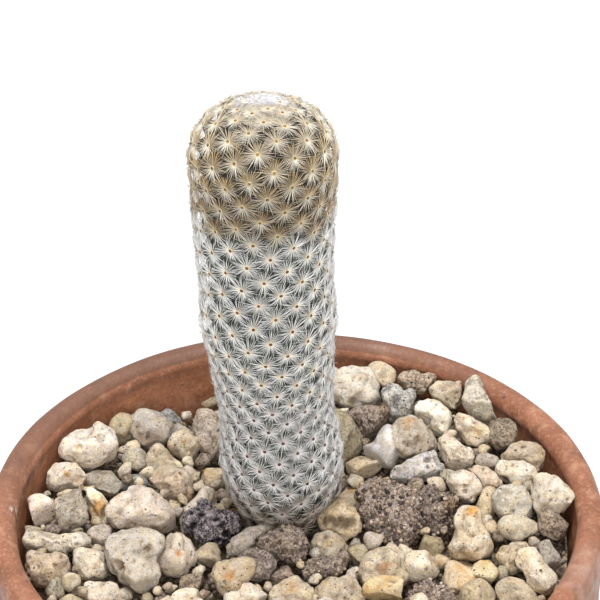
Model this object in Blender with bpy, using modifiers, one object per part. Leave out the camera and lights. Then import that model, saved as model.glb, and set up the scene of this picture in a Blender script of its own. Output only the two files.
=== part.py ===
"""A golf ball cactus in a terracotta bowl pot dressed with pumice gravel.

Metres, +Z up, with the origin at the middle of the pot's underside. The stem is one body whose
tubercles and spines follow a golden-angle spiral, and the gravel is loose stones on a bed of fine ones.
"""
import math
import random

import bmesh
import bpy
import numpy as np
from mathutils import Matrix, Vector, geometry

GAP = 0.0003
SLIVER = 0.00001

# Pot: a rolled rim, a deep collar and a body that tapers to its foot
POT_HEIGHT = 0.075
RIM_RADIUS = 0.065
RIM_ROLL = 0.0032
COLLAR_HEIGHT = 0.028
COLLAR_STEP = 0.0032
FOOT_RADIUS = 0.0425
FLOOR_THICKNESS = 0.006
DRAIN_RADIUS = 0.0055
INNER_WALL = ((0.006, 0.0370), (0.0085, 0.0402), (0.052, 0.0574), (0.064, 0.0583))
POT_SIDES = 48

# Soil and the bed of fine gravel on it, which rises towards the wall and dips at the back left
SOIL_TOP = 0.052
BED_LEVEL = 0.0625
BED_WALL_GAP = 0.0004
BED_RISE_RIGHT = 0.006
BED_RISE_LEFT = 0.002
BED_DIP = 0.003
BED_DIP_PLACE = (-0.025, 0.050)
BED_DIP_WIDTH = 0.012
BED_STEM_DIP = 0.0015

# Stem: silhouette radius over the spines at each height, from the widest part of the dome down
STEM_BASE = (-0.0022, 0.010)
STEM_TOP_X = -0.0064
BEND_TOP = 0.136
BEND_LENGTH = 0.067
DOME_LEVEL = 0.150
DOME_HEIGHT = 0.0122
DOME_POWER = 2.4
STEM_RADII = (
    (0.150, 0.0149), (0.141, 0.0146), (0.132, 0.0142), (0.123, 0.0138), (0.114, 0.0142),
    (0.104, 0.0130), (0.091, 0.0121), (0.079, 0.0131), (0.072, 0.0125), (0.066, 0.0100), (0.057, 0.0088),
)
PLUG_RADIUS = 0.0070
PLUG_TOP = 0.060
PLUG_BOTTOM = 0.044
STEM_CLEARANCE = 0.0126

# Tubercles and spines: one areole a cell, on a golden-angle spiral from the crown down
GOLDEN_ANGLE = math.radians(137.508)
CELL_AREAS = ((0.060, 19e-6), (0.100, 19e-6), (0.128, 21.5e-6), (0.138, 30e-6), (0.165, 31e-6))
LOWEST_AREOLE = 0.0656
SPINE_RISE = 0.0006
SPINE_REACH = 0.92
SPINE_ROOT = 0.0006
SPINE_DEPTH = 0.00045
VALLEY_DEPTH = 0.0022
SEAT_DEPTH = 0.0008
WOOL_RADIUS = 0.0062
WOOL_SEAT = 0.0076
WOOL_BULGE = 0.0010

# Loose stones: kind, x, y, length, width, height, turn in degrees and lift above the usual seat
STONES = (
    ("pumice", -0.0450, 0.0260, 0.0155, 0.0135, 0.0115, 15, 0.0010),
    ("pumice", -0.0335, 0.0385, 0.0105, 0.0095, 0.0085, -20, 0.0010),
    ("pumice", -0.0505, -0.0045, 0.0150, 0.0080, 0.0070, 0, 0.0),
    ("pumice", -0.0330, 0.0055, 0.0175, 0.0120, 0.0110, -12, 0.0015),
    ("pumice", -0.0335, -0.0110, 0.0160, 0.0140, 0.0115, -60, 0.0015),
    ("pumice", -0.0250, -0.0090, 0.0095, 0.0105, 0.0095, -20, 0.0010),
    ("pumice", -0.0430, -0.0115, 0.0080, 0.0080, 0.0070, 0, 0.0),
    ("pumice", -0.0390, -0.0180, 0.0090, 0.0065, 0.0055, -15, 0.0),
    ("pumice", -0.0225, 0.0125, 0.0130, 0.0075, 0.0075, 55, 0.0),
    ("pumice", -0.0230, -0.0180, 0.0090, 0.0065, 0.0055, 20, 0.0),
    ("pumice", 0.0135, 0.0480, 0.0120, 0.0110, 0.0100, 0, 0.0),
    ("pumice", 0.0310, 0.0345, 0.0095, 0.0100, 0.0090, 0, 0.0010),
    ("pumice", 0.0475, 0.0155, 0.0110, 0.0070, 0.0060, -15, 0.0),
    ("pumice", 0.0535, 0.0055, 0.0110, 0.0095, 0.0085, -25, 0.0010),
    ("pumice", 0.0460, 0.0050, 0.0100, 0.0095, 0.0085, -20, 0.0005),
    ("pumice", 0.0360, 0.0115, 0.0085, 0.0090, 0.0080, 0, 0.0010),
    ("pumice", 0.0490, -0.0150, 0.0135, 0.0075, 0.0065, -50, 0.0010),
    ("tan", -0.0250, 0.0330, 0.0075, 0.0090, 0.0080, 0, 0.0),
    ("tan", -0.0295, 0.0290, 0.0090, 0.0070, 0.0060, 20, 0.0),
    ("tan", -0.0265, 0.0185, 0.0115, 0.0080, 0.0085, -40, 0.0),
    ("tan", -0.0500, 0.0185, 0.0100, 0.0075, 0.0065, 0, 0.0),
    ("tan", -0.0510, -0.0145, 0.0100, 0.0090, 0.0080, 20, 0.0),
    ("tan", -0.0020, -0.0170, 0.0095, 0.0075, 0.0065, 0, 0.0),
    ("tan", 0.0335, 0.0430, 0.0075, 0.0080, 0.0070, 0, 0.0),
    ("tan", 0.0500, 0.0200, 0.0105, 0.0075, 0.0065, -12, 0.0005),
    ("tan", 0.0395, 0.0300, 0.0125, 0.0080, 0.0075, -30, 0.0005),
    ("tan", 0.0260, 0.0275, 0.0110, 0.0105, 0.0095, 10, 0.0010),
    ("tan", 0.0355, 0.0230, 0.0115, 0.0075, 0.0080, -40, 0.0),
    ("tan", 0.0405, 0.0140, 0.0095, 0.0075, 0.0075, -45, 0.0),
    ("tan", 0.0450, -0.0090, 0.0085, 0.0080, 0.0070, 0, 0.0),
    ("tan", 0.0185, -0.0105, 0.0100, 0.0100, 0.0090, -20, 0.0),
    ("tan", 0.0075, -0.0030, 0.0090, 0.0075, 0.0065, 10, 0.0),
    ("tan", 0.0105, -0.0160, 0.0105, 0.0070, 0.0065, -15, 0.0),
    ("orange", -0.0430, 0.0090, 0.0105, 0.0060, 0.0090, -65, 0.0),
    ("orange", -0.0145, -0.0165, 0.0095, 0.0090, 0.0080, 25, 0.0),
    ("orange", 0.0370, -0.0040, 0.0085, 0.0130, 0.0115, 0, 0.0010),
    ("olive", 0.0115, 0.0315, 0.0075, 0.0140, 0.0115, 0, 0.0),
    ("olive", 0.0110, 0.0030, 0.0105, 0.0100, 0.0090, -20, 0.0010),
    ("brown", -0.0200, 0.0355, 0.0085, 0.0120, 0.0105, 0, 0.0010),
    ("brown", -0.0030, -0.0060, 0.0095, 0.0080, 0.0070, 0, 0.0),
    ("brown", -0.0075, -0.0125, 0.0090, 0.0080, 0.0070, 20, 0.0),
    ("brown", 0.0265, 0.0470, 0.0095, 0.0070, 0.0060, 0, 0.0),
    ("brown", 0.0170, 0.0365, 0.0100, 0.0085, 0.0080, 15, 0.0),
    ("brown", 0.0305, 0.0080, 0.0105, 0.0085, 0.0095, -50, 0.0),
    ("brown", 0.0055, -0.0095, 0.0095, 0.0065, 0.0060, 0, 0.0),
    ("grey", -0.0480, 0.0045, 0.0100, 0.0110, 0.0100, 20, 0.0),
    ("grey", -0.0120, -0.0035, 0.0120, 0.0060, 0.0050, 28, 0.0),
    ("grey", 0.0385, 0.0360, 0.0080, 0.0130, 0.0115, 0, 0.0010),
    ("grey", 0.0270, 0.0200, 0.0135, 0.0075, 0.0065, 12, 0.0),
    ("blue_grey", 0.0240, 0.0400, 0.0065, 0.0095, 0.0085, 0, 0.0),
    ("quartz", 0.0180, 0.0270, 0.0085, 0.0115, 0.0105, 20, 0.0),
    ("lava", -0.0180, 0.0030, 0.0115, 0.0095, 0.0080, -10, 0.0015),
    ("clod", 0.0210, 0.0065, 0.0150, 0.0150, 0.0115, -20, 0.0),
    ("clod", 0.0285, -0.0170, 0.0095, 0.0060, 0.0055, 0, 0.0),
)
STONE_FULLNESS = 1.12
STONE_CORNERS = 16
STONE_SINK = 0.18
STONE_NEIGHBOURS = 0.022
STONE_UNEVEN = 0.09
STONE_ROUGH = 0.13
ROUGH_KINDS = ("brown", "clod", "lava", "grey")
STONE_TILT = 0.2
STONE_SEED = 11
STONE_WALL_RADIUS = 0.0571

# Fine gravel of the bed: sizes laid from the largest down, each tried a number of times
PEBBLE_SIZES = (0.0105, 0.0092, 0.0080, 0.0069, 0.0060, 0.0050)
DOMED_PEBBLE = 0.0055
PEBBLE_TRIES = 300
PEBBLE_SPACING = 0.80
PEBBLE_RISE = 0.34
PEBBLE_SHOULDER = 0.62
PEBBLE_SEED = 4
BED_VALLEY = 0.0012

COLOURS = {
    "pot": ((0.44, 0.17, 0.09), 0.85),
    "soil": ((0.05, 0.035, 0.025), 1.0),
    "gravel_bed": ((0.36, 0.30, 0.22), 0.95),
    "cactus": ((0.30, 0.31, 0.24), 0.8),
    "crown_wool": ((0.85, 0.84, 0.80), 0.95),
    "pumice": ((0.58, 0.52, 0.42), 0.95),
    "tan": ((0.48, 0.40, 0.28), 0.95),
    "orange": ((0.55, 0.38, 0.18), 0.95),
    "olive": ((0.30, 0.25, 0.16), 0.95),
    "brown": ((0.22, 0.17, 0.13), 0.95),
    "grey": ((0.38, 0.36, 0.33), 0.95),
    "blue_grey": ((0.25, 0.27, 0.30), 0.95),
    "quartz": ((0.62, 0.61, 0.60), 0.7),
    "lava": ((0.035, 0.028, 0.04), 0.9),
    "clod": ((0.11, 0.085, 0.065), 1.0),
}


def clear_scene():
    for obj in list(bpy.data.objects):
        bpy.data.objects.remove(obj, do_unlink=True)


def make_collection(name):
    collection = bpy.data.collections.new(name)
    bpy.context.scene.collection.children.link(collection)
    return collection


def make_material(name, look):
    colour, roughness = COLOURS[look]
    material = bpy.data.materials.new(name)
    material.use_nodes = True
    shader = material.node_tree.nodes["Principled BSDF"]
    shader.inputs["Base Color"].default_value = (*colour, 1.0)
    shader.inputs["Roughness"].default_value = roughness
    shader.inputs["Metallic"].default_value = 0.0
    return material


def add_object(name, mesh, collection, look=None):
    obj = bpy.data.objects.new(name, mesh)
    collection.objects.link(obj)
    if look:
        mesh.materials.clear()
        mesh.materials.append(make_material(name, look))
    return obj


def mesh_from_bmesh(name, form):
    bmesh.ops.recalc_face_normals(form, faces=form.faces)
    mesh = bpy.data.meshes.new(name)
    form.to_mesh(mesh)
    form.free()
    return mesh


def applied_mesh(obj):
    """The object's mesh with its modifiers applied, and the object removed."""
    bpy.context.view_layer.update()
    evaluated = obj.evaluated_get(bpy.context.evaluated_depsgraph_get())
    mesh = bpy.data.meshes.new_from_object(evaluated)
    bpy.data.objects.remove(obj, do_unlink=True)
    return mesh


def ease(value):
    t = min(max(value, 0.0), 1.0)
    return t * t * (3 - 2 * t)


# Turned shapes

def turned(name, outline, closed, sides, collection, look=None):
    """Turn an outline of (radius, height) points about Z, its outer side running downward."""
    mesh = bpy.data.meshes.new(name)
    count = len(outline)
    edges = [(i, i + 1) for i in range(count - 1)]
    if closed:
        edges.append((count - 1, 0))
    mesh.from_pydata([(r, 0.0, z) for r, z in outline], edges, [])
    obj = add_object(name, mesh, collection, look)
    screw = obj.modifiers.new("turn", "SCREW")
    screw.steps = sides
    screw.render_steps = sides
    screw.use_merge_vertices = True
    screw.merge_threshold = 1e-6
    return obj


def arc(centre, radius, start, end, steps):
    angles = [math.radians(start + (end - start) * i / steps) for i in range(steps + 1)]
    return [(centre[0] + radius * math.cos(a), centre[1] + radius * math.sin(a)) for a in angles]


def wall_radius(height):
    """Inner radius of the pot at a height."""
    levels = [z for z, r in INNER_WALL]
    radii = [r for z, r in INNER_WALL]
    return float(np.interp(height, levels, radii))


def make_pot(collection):
    roll_level = POT_HEIGHT - RIM_ROLL
    collar_foot = roll_level - COLLAR_HEIGHT
    body_top = RIM_RADIUS - COLLAR_STEP
    outline = [
        (RIM_RADIUS - 0.0004, collar_foot + 0.0022),
        (RIM_RADIUS - 0.0012, collar_foot),
        (body_top, collar_foot - 0.0008),
        (FOOT_RADIUS + 0.0012, 0.0016),
        (FOOT_RADIUS, 0.0),
        (DRAIN_RADIUS, 0.0),
        (DRAIN_RADIUS, FLOOR_THICKNESS),
    ]
    outline += [(r, z) for z, r in INNER_WALL]
    rim = arc((RIM_RADIUS - RIM_ROLL, roll_level), RIM_ROLL, 180, 0, 6)
    outline += rim
    pot = turned("pot", outline, True, POT_SIDES, collection, "pot")
    pot.data.shade_smooth()
    return pot


# Soil and bed of gravel

def make_soil(collection, cutters):
    lower = [(r - BED_WALL_GAP, z + GAP) for z, r in INNER_WALL if z < SOIL_TOP]
    outline = [(0.0, SOIL_TOP), (wall_radius(SOIL_TOP) - BED_WALL_GAP, SOIL_TOP)]
    outline += list(reversed(lower)) + [(0.0, FLOOR_THICKNESS + GAP)]
    soil = turned("soil", outline, False, POT_SIDES, collection, "soil")
    cut_stem_hole(soil, PLUG_BOTTOM - GAP, SOIL_TOP + 0.01, cutters)
    return soil


def cut_stem_hole(obj, bottom, top, cutters):
    """A plain round hole for the buried foot of the stem."""
    form = bmesh.new()
    bmesh.ops.create_cone(form, cap_ends=True, segments=24, radius1=PLUG_RADIUS + 0.0005,
                          radius2=PLUG_RADIUS + 0.0005, depth=top - bottom)
    centre = Vector((*STEM_BASE, (top + bottom) / 2))
    bmesh.ops.translate(form, verts=form.verts, vec=centre)
    cutter = add_object(obj.name + "_hole", mesh_from_bmesh(obj.name + "_hole", form), cutters)
    subtract(obj, cutter)


def subtract(obj, cutter):
    cut = obj.modifiers.new("hole", "BOOLEAN")
    cut.operation = "DIFFERENCE"
    cut.solver = "EXACT"
    cut.object = cutter


def bed_height(x, y):
    """Top of the bed: higher at the right and back and at the far left, lower round the stem."""
    right_back = ease((0.75 * x + 0.66 * y - 0.012) / 0.040)
    left = ease((-x - 0.030) / 0.020)
    dip = math.hypot(x - BED_DIP_PLACE[0], y - BED_DIP_PLACE[1]) / BED_DIP_WIDTH
    stem = ease((0.016 - math.hypot(x - STEM_BASE[0], y - STEM_BASE[1])) / 0.006)
    rise = BED_RISE_RIGHT * right_back + BED_RISE_LEFT * left
    return BED_LEVEL + rise - BED_DIP * math.exp(-dip * dip) - BED_STEM_DIP * stem


def stone_points(rng, sizes, corners, uneven):
    """Corners spread evenly over an ellipsoid, each moved a little in or out."""
    points = []
    for i in range(corners):
        height = 1 - (2 * i + 1) / corners
        around = i * GOLDEN_ANGLE + rng.uniform(-0.35, 0.35)
        flat = math.sqrt(1 - height * height)
        bulge = rng.uniform(1 - uneven, 1 + uneven)
        direction = Vector((flat * math.cos(around), flat * math.sin(around), height))
        points.append(Vector([0.5 * size * bulge * part for size, part in zip(sizes, direction)]))
    return points


def hull_mesh(name, points):
    form = bmesh.new()
    for point in points:
        form.verts.new(point)
    result = bmesh.ops.convex_hull(form, input=form.verts)
    loose = [item for item in result["geom_interior"] if isinstance(item, bmesh.types.BMVert)]
    loose += [vert for vert in form.verts if not vert.link_faces and vert not in loose]
    bmesh.ops.delete(form, geom=loose, context="VERTS")
    return mesh_from_bmesh(name, form)


def press(points, normal, limit):
    """Push back every point that lies past the plane where normal . point = limit."""
    for point in points:
        past = normal.dot(point) - limit
        if past > 0:
            point -= normal * past


def keep_off_wall(points, radius):
    for point in points:
        out = math.hypot(point.x, point.y)
        if out > radius:
            point.x *= radius / out
            point.y *= radius / out


def keep_off_stem(points, centre):
    """Press a stone back to a plane that stands clear of the stem and its spines."""
    away = Vector((centre.x - STEM_BASE[0], centre.y - STEM_BASE[1], 0.0))
    normal = -away.normalized()
    limit = normal.dot(Vector((*STEM_BASE, 0.0))) - STEM_CLEARANCE
    press(points, normal, limit)


def stone_reach(stone, direction):
    """How far a stone's ellipsoid reaches from its centre along a direction."""
    local = stone["turn"].transposed() @ direction
    return 1 / math.sqrt(sum((part / (0.5 * size)) ** 2 for part, size in zip(local, stone["sizes"])))


def plan_stones():
    rng = random.Random(STONE_SEED)
    stones = []
    counts = {}
    for kind, x, y, length, width, height, turn, lift in STONES:
        counts[kind] = counts.get(kind, 0) + 1
        name = "soil_clod" if kind == "clod" else kind + "_stone"
        centre = Vector((x, y, bed_height(x, y) + (0.5 - STONE_SINK) * height + lift))
        sizes = [STONE_FULLNESS * size for size in (length, width, height)]
        tilt = Matrix.Rotation(rng.uniform(-STONE_TILT, STONE_TILT), 3, "X")
        turned_by = Matrix.Rotation(math.radians(turn), 3, "Z") @ tilt
        stone = {
            "name": "%s_%02d" % (name, counts[kind]),
            "kind": kind,
            "centre": centre,
            "sizes": sizes,
            "turn": turned_by,
        }
        uneven = STONE_ROUGH if kind in ROUGH_KINDS else STONE_UNEVEN
        corners = stone_points(rng, stone["sizes"], STONE_CORNERS, uneven)
        stone["points"] = [centre + turned_by @ corner for corner in corners]
        stones.append(stone)
    return stones


def settle_stones(stones):
    """Press neighbours back from the planes where they would meet, and all of them off wall and stem."""
    for _ in range(6):
        for stone in stones:
            for other in stones:
                if other is stone:
                    continue
                between = other["centre"] - stone["centre"]
                distance = between.length
                if distance > STONE_NEIGHBOURS:
                    continue
                direction = between.normalized()
                share = distance + stone_reach(stone, direction) - stone_reach(other, -direction)
                limit = direction.dot(stone["centre"]) + 0.5 * share - 0.5 * GAP
                press(stone["points"], direction, limit)
            keep_off_stem(stone["points"], stone["centre"])
            keep_off_wall(stone["points"], STONE_WALL_RADIUS)


def make_stones(stones, collection):
    for stone in stones:
        add_object(stone["name"], hull_mesh(stone["name"], stone["points"]), collection, stone["kind"])


def scatter_pebbles(stones):
    """Places for the fine gravel: a seeded throw that fills what the loose stones leave open."""
    rng = random.Random(PEBBLE_SEED)
    taken = [(s["centre"].x, s["centre"].y, 0.25 * (s["sizes"][0] + s["sizes"][1])) for s in stones]
    pebbles = []
    for size in PEBBLE_SIZES:
        for _ in range(PEBBLE_TRIES):
            out = (STONE_WALL_RADIUS - 0.55 * size) * math.sqrt(rng.random())
            around = rng.uniform(-math.pi, math.pi)
            x = out * math.cos(around)
            y = out * math.sin(around)
            clear = math.hypot(x - STEM_BASE[0], y - STEM_BASE[1]) > STEM_CLEARANCE + 0.6 * size
            for other_x, other_y, radius in taken:
                clear = clear and math.hypot(x - other_x, y - other_y) > PEBBLE_SPACING * (radius + size / 2)
            if clear:
                taken.append((x, y, size / 2))
                pebbles.append((x, y, size))
    return pebbles


def bed_relief(stones):
    """The bed as one solid: a low facetted dome for each pebble of fine gravel, valleys between them."""
    rng = random.Random(PEBBLE_SEED + 1)
    sites = [(x, y, bed_height(x, y) + PEBBLE_RISE * size * rng.uniform(0.7, 1.2), size > DOMED_PEBBLE)
             for x, y, size in scatter_pebbles(stones)]
    sites += [(s["centre"].x, s["centre"].y, s["centre"].z - 0.3 * s["sizes"][2], False) for s in stones]
    edge = wall_radius(BED_LEVEL - 0.002) - BED_WALL_GAP
    foot = wall_radius(SOIL_TOP + GAP) - BED_WALL_GAP
    turns = [math.tau * i / POT_SIDES for i in range(POT_SIDES)]
    rim = [Vector((edge * math.cos(a), edge * math.sin(a))) for a in turns]
    plane = [Vector((x, y)) for x, y, z, dome in sites] + rim
    result = geometry.delaunay_2d_cdt(plane, [], [], 0, 1e-7)
    form = bmesh.new()
    rim_verts = [form.verts.new((p.x, p.y, bed_height(p.x, p.y) - BED_VALLEY)) for p in rim]
    fans = {}
    for triangle in result[2]:
        middle = sum((plane[i] for i in triangle), Vector((0, 0))) / 3
        valley = form.verts.new((middle.x, middle.y, bed_height(middle.x, middle.y) - BED_VALLEY))
        for i in triangle:
            offset = middle - plane[i]
            fans.setdefault(i, []).append((math.atan2(offset.y, offset.x), valley))
    for i, (x, y, top, dome) in enumerate(sites):
        valleys = [item[1] for item in sorted(fans[i], key=lambda item: item[0])]
        add_dome(form, Vector((x, y, top)), valleys, dome)
    for i, vert in enumerate(rim_verts):
        add_rim_fan(form, vert, rim[i], fans[len(sites) + i])
    close_rim(form, rim_verts, foot)
    return mesh_from_bmesh("gravel_bed", form)


def add_dome(form, top, valleys, dome):
    """One pebble of the relief: a crown, a shoulder ring when it is a full dome, and its valleys."""
    crown = form.verts.new(top)
    shoulders = []
    for first, second in zip(valleys, valleys[1:] + valleys[:1]):
        if not dome:
            form.faces.new((crown, first, second))
            continue
        middle = (first.co + second.co) / 2
        place = top.lerp(middle, PEBBLE_SHOULDER)
        place.z = top.z - 0.3 * (top.z - middle.z)
        shoulders.append(form.verts.new(place))
    for j, after in enumerate(shoulders):
        before = shoulders[j - 1]
        form.faces.new((crown, before, after))
        form.faces.new((before, valleys[j], after))
        form.faces.new((after, valleys[j], valleys[(j + 1) % len(valleys)]))


def add_rim_fan(form, vert, place, fan):
    """Join one point on the wall to the valleys next to it."""
    inward = math.atan2(-place.y, -place.x)
    ordered = sorted(fan, key=lambda item: math.remainder(item[0] - inward, math.tau))
    for (_, first), (_, second) in zip(ordered, ordered[1:]):
        form.faces.new((vert, first, second))


def close_rim(form, rim_verts, foot):
    """The strip along the wall, the side of the bed down to the soil, and its flat underside."""
    bottom = SOIL_TOP + GAP
    feet = [form.verts.new((foot * math.cos(a), foot * math.sin(a), bottom))
            for a in (math.tau * i / POT_SIDES for i in range(POT_SIDES))]
    middle = form.verts.new((0.0, 0.0, bottom))
    for i, vert in enumerate(rim_verts):
        following = (i + 1) % POT_SIDES
        shared = set(valley_neighbours(vert)) & set(valley_neighbours(rim_verts[following]))
        form.faces.new((vert, rim_verts[following], shared.pop()))
        form.faces.new((rim_verts[following], vert, feet[i], feet[following]))
        form.faces.new((feet[following], feet[i], middle))


def valley_neighbours(vert):
    return [edge.other_vert(vert) for edge in vert.link_edges]


def make_gravel_bed(stones, collection, cutters):
    """The bed with its fine gravel, hollowed where each loose stone sits."""
    sockets = bpy.data.collections.new("sockets")
    for stone in stones:
        mesh = hull_mesh(stone["name"] + "_socket", stone["points"])
        widen(mesh, 1.5 * GAP)
        socket = bpy.data.objects.new(stone["name"] + "_socket", mesh)
        sockets.objects.link(socket)
    bed = add_object("gravel_bed", bed_relief(stones), collection)
    carve(bed, sockets)
    cut_stem_hole(bed, SOIL_TOP - 0.002, BED_LEVEL + 0.01, cutters)
    mesh = applied_mesh(bed)
    for obj in list(sockets.objects):
        bpy.data.objects.remove(obj, do_unlink=True)
    bpy.data.collections.remove(sockets)
    tidy_body(mesh)
    add_object("gravel_bed", mesh, collection, "gravel_bed")


def carve(obj, group):
    """Cut a collection's solids out of an object."""
    cut = obj.modifiers.new("sockets", "BOOLEAN")
    cut.operation = "DIFFERENCE"
    cut.solver = "EXACT"
    cut.operand_type = "COLLECTION"
    cut.collection = group


def widen(mesh, distance):
    form = bmesh.new()
    form.from_mesh(mesh)
    form.normal_update()
    moves = [(vert, vert.normal.copy()) for vert in form.verts]
    for vert, normal in moves:
        vert.co += normal * distance
    form.to_mesh(mesh)
    form.free()


def tidy_body(mesh):
    """Merge the slivers that carving leaves, and keep only the largest body."""
    form = bmesh.new()
    form.from_mesh(mesh)
    bmesh.ops.dissolve_degenerate(form, dist=SLIVER, edges=form.edges)
    bmesh.ops.triangulate(form, faces=form.faces)
    waiting = set(form.verts)
    bodies = []
    while waiting:
        body = set()
        front = [waiting.pop()]
        while front:
            vert = front.pop()
            body.add(vert)
            for edge in vert.link_edges:
                other = edge.other_vert(vert)
                if other in waiting:
                    waiting.remove(other)
                    front.append(other)
        bodies.append(body)
    bodies.sort(key=len)
    for body in bodies[:-1]:
        bmesh.ops.delete(form, geom=list(body), context="VERTS")
    form.to_mesh(mesh)
    form.free()


# Cactus stem with its tubercles and spines

def smooth_radius(height):
    """Silhouette radius of the stem at a height, eased between the given levels."""
    levels = STEM_RADII
    for (upper, upper_radius), (lower, lower_radius) in zip(levels, levels[1:]):
        if height >= lower:
            return lower_radius + (upper_radius - lower_radius) * ease((height - lower) / (upper - lower))
    return levels[-1][1]


def stem_profile():
    """Arrays of radius and height along the surface that carries the areoles, from the crown down."""
    rim = smooth_radius(DOME_LEVEL) - SPINE_RISE
    turns = np.linspace(1e-4, math.pi / 2, 160)
    radius = rim * np.sin(turns) ** (2 / DOME_POWER)
    height = DOME_LEVEL + (DOME_HEIGHT - SPINE_RISE) * np.cos(turns) ** (2 / DOME_POWER)
    below = np.arange(DOME_LEVEL, STEM_RADII[-1][0], -0.0004)[1:]
    radius = np.append(radius, [smooth_radius(z) - SPINE_RISE for z in below])
    height = np.append(height, below)
    return radius, height


def axis_point(height):
    """Centre of the stem at a height: it bends gently to the left as it rises."""
    bend = min(max((BEND_TOP - height) / BEND_LENGTH, 0.0), 1.0)
    return Vector((STEM_TOP_X + (STEM_BASE[0] - STEM_TOP_X) * bend ** 1.5, STEM_BASE[1], height))


def spread_areoles():
    """Areoles on a golden-angle spiral, as places, outward normals, arc lengths and plane points."""
    radius, height = stem_profile()
    steps = np.hypot(np.diff(radius), np.diff(height))
    middle = 0.5 * (radius[1:] + radius[:-1])
    levels = [z for z, area in CELL_AREAS]
    areas = [area for z, area in CELL_AREAS]
    cells = np.interp(0.5 * (height[1:] + height[:-1]), levels, areas)
    arc_length = np.append(radius[0], radius[0] + np.cumsum(steps))
    count = np.append(0.0, np.cumsum(math.tau * middle * steps / cells))
    stretch = np.append(0.0, np.cumsum(steps / middle))
    slope_radius = np.gradient(radius, arc_length)
    slope_height = np.gradient(height, arc_length)
    order = np.arange(int(count[-1] - 0.5))
    curves = (radius, height, arc_length, stretch, slope_radius, slope_height)
    rows = zip(*(np.interp(order + 0.5, count, curve).tolist() for curve in curves))
    areoles = []
    for k, (out_by, level, arc_at, stretch_at, lean, drop) in enumerate(rows):
        out = Vector((math.cos(-k * GOLDEN_ANGLE), math.sin(-k * GOLDEN_ANGLE), 0.0))
        normal = (out * -drop + Vector((0, 0, lean))).normalized()
        areoles.append({
            "place": axis_point(level) + out * out_by,
            "normal": normal,
            "arc": arc_at,
            "plane": Vector((out.x, out.y)) * math.exp(stretch_at),
        })
    return areoles


def valley_depth(arc_length):
    """Tubercles stand tall on the sides and low under the crown's wool."""
    return SEAT_DEPTH + (VALLEY_DEPTH - SEAT_DEPTH) * ease((arc_length - WOOL_SEAT) / 0.004)


def across(vector, normal):
    return vector - normal * vector.dot(normal)


def make_cactus(collection):
    """One closed body: a cone for each areole, topped by a star of three-sided spines."""
    areoles = spread_areoles()
    result = geometry.delaunay_2d_cdt([a["plane"] for a in areoles], [], [], 0, 1e-7)
    form = bmesh.new()
    fans = {}
    for triangle in result[2]:
        corners = [areoles[i] for i in triangle]
        place = sum((c["place"] for c in corners), Vector()) / 3
        normal = sum((c["normal"] for c in corners), Vector()).normalized()
        depth = valley_depth(sum(c["arc"] for c in corners) / 3)
        middle = sum((c["plane"] for c in corners), Vector((0, 0))) / 3
        valley = form.verts.new(place - normal * depth)
        for i in triangle:
            offset = middle - areoles[i]["plane"]
            fans.setdefault(i, []).append((math.atan2(offset.y, offset.x), valley))
    for i, areole in enumerate(areoles):
        if areole["place"].z < LOWEST_AREOLE:
            continue
        fan = sorted(fans[i], key=lambda item: item[0])
        valleys = [item[1] for item in fan]
        if areole["arc"] < WOOL_SEAT:
            add_bare_cell(form, areole, valleys)
        else:
            add_spine_star(form, areole, valleys)
    add_buried_foot(form)
    loose = [vert for vert in form.verts if not vert.link_faces]
    bmesh.ops.delete(form, geom=loose, context="VERTS")
    add_object("cactus", mesh_from_bmesh("cactus", form), collection, "cactus")


def add_bare_cell(form, areole, valleys):
    hub = form.verts.new(areole["place"] - areole["normal"] * SEAT_DEPTH)
    for first, second in zip(valleys, valleys[1:] + valleys[:1]):
        form.faces.new((hub, first, second))


def add_spine_star(form, areole, valleys):
    """Spines from one areole, one towards each corner of its cell, above the tubercle's flank."""
    place = areole["place"]
    normal = areole["normal"]
    hub = form.verts.new(place)
    roots = []
    for first, second in zip(valleys, valleys[1:] + valleys[:1]):
        outward = across((first.co + second.co) / 2 - place, normal).normalized()
        roots.append(form.verts.new(place + outward * SPINE_ROOT - normal * SPINE_DEPTH))
    for j, valley in enumerate(valleys):
        run = across(valley.co - place, normal)
        reach = min(SPINE_REACH, wool_limit(place, valley.co))
        tip = form.verts.new(place + run * reach + normal * SPINE_RISE * 0.6)
        before = roots[j - 1]
        after = roots[j]
        form.faces.new((hub, before, tip))
        form.faces.new((hub, tip, after))
        form.faces.new((before, after, tip))
        form.faces.new((before, valley, after))
        form.faces.new((after, valley, valleys[(j + 1) % len(valleys)]))


def wool_limit(place, valley):
    """Share of the way to a valley that a spine may run before it meets the crown's wool."""
    centre = axis_point(place.z)
    start = math.hypot(place.x - centre.x, place.y - centre.y)
    end = math.hypot(valley.x - centre.x, valley.y - centre.y)
    if place.z < DOME_LEVEL or end >= start:
        return 1.0
    return max((start - WOOL_RADIUS - 2 * GAP) / (start - end), 0.2)


def add_buried_foot(form):
    """Carry the lowest ring of valleys down into the soil as a plain round foot."""
    edges = [edge for edge in form.edges if len(edge.link_faces) == 1]
    centre = Vector((*STEM_BASE, 0.0))
    upper = {}
    lower = {}
    for vert in {vert for edge in edges for vert in edge.verts}:
        out = across(vert.co - centre, Vector((0, 0, 1))).normalized() * PLUG_RADIUS
        upper[vert] = form.verts.new(centre + out + Vector((0, 0, PLUG_TOP)))
        lower[vert] = form.verts.new(centre + out + Vector((0, 0, PLUG_BOTTOM)))
    middle = form.verts.new(centre + Vector((0, 0, PLUG_BOTTOM)))
    for edge in edges:
        first, second = edge.verts
        if edge.link_loops[0].vert is first:
            first, second = second, first
        form.faces.new((first, second, upper[second], upper[first]))
        form.faces.new((upper[first], upper[second], lower[second], lower[first]))
        form.faces.new((lower[first], lower[second], middle))


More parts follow.
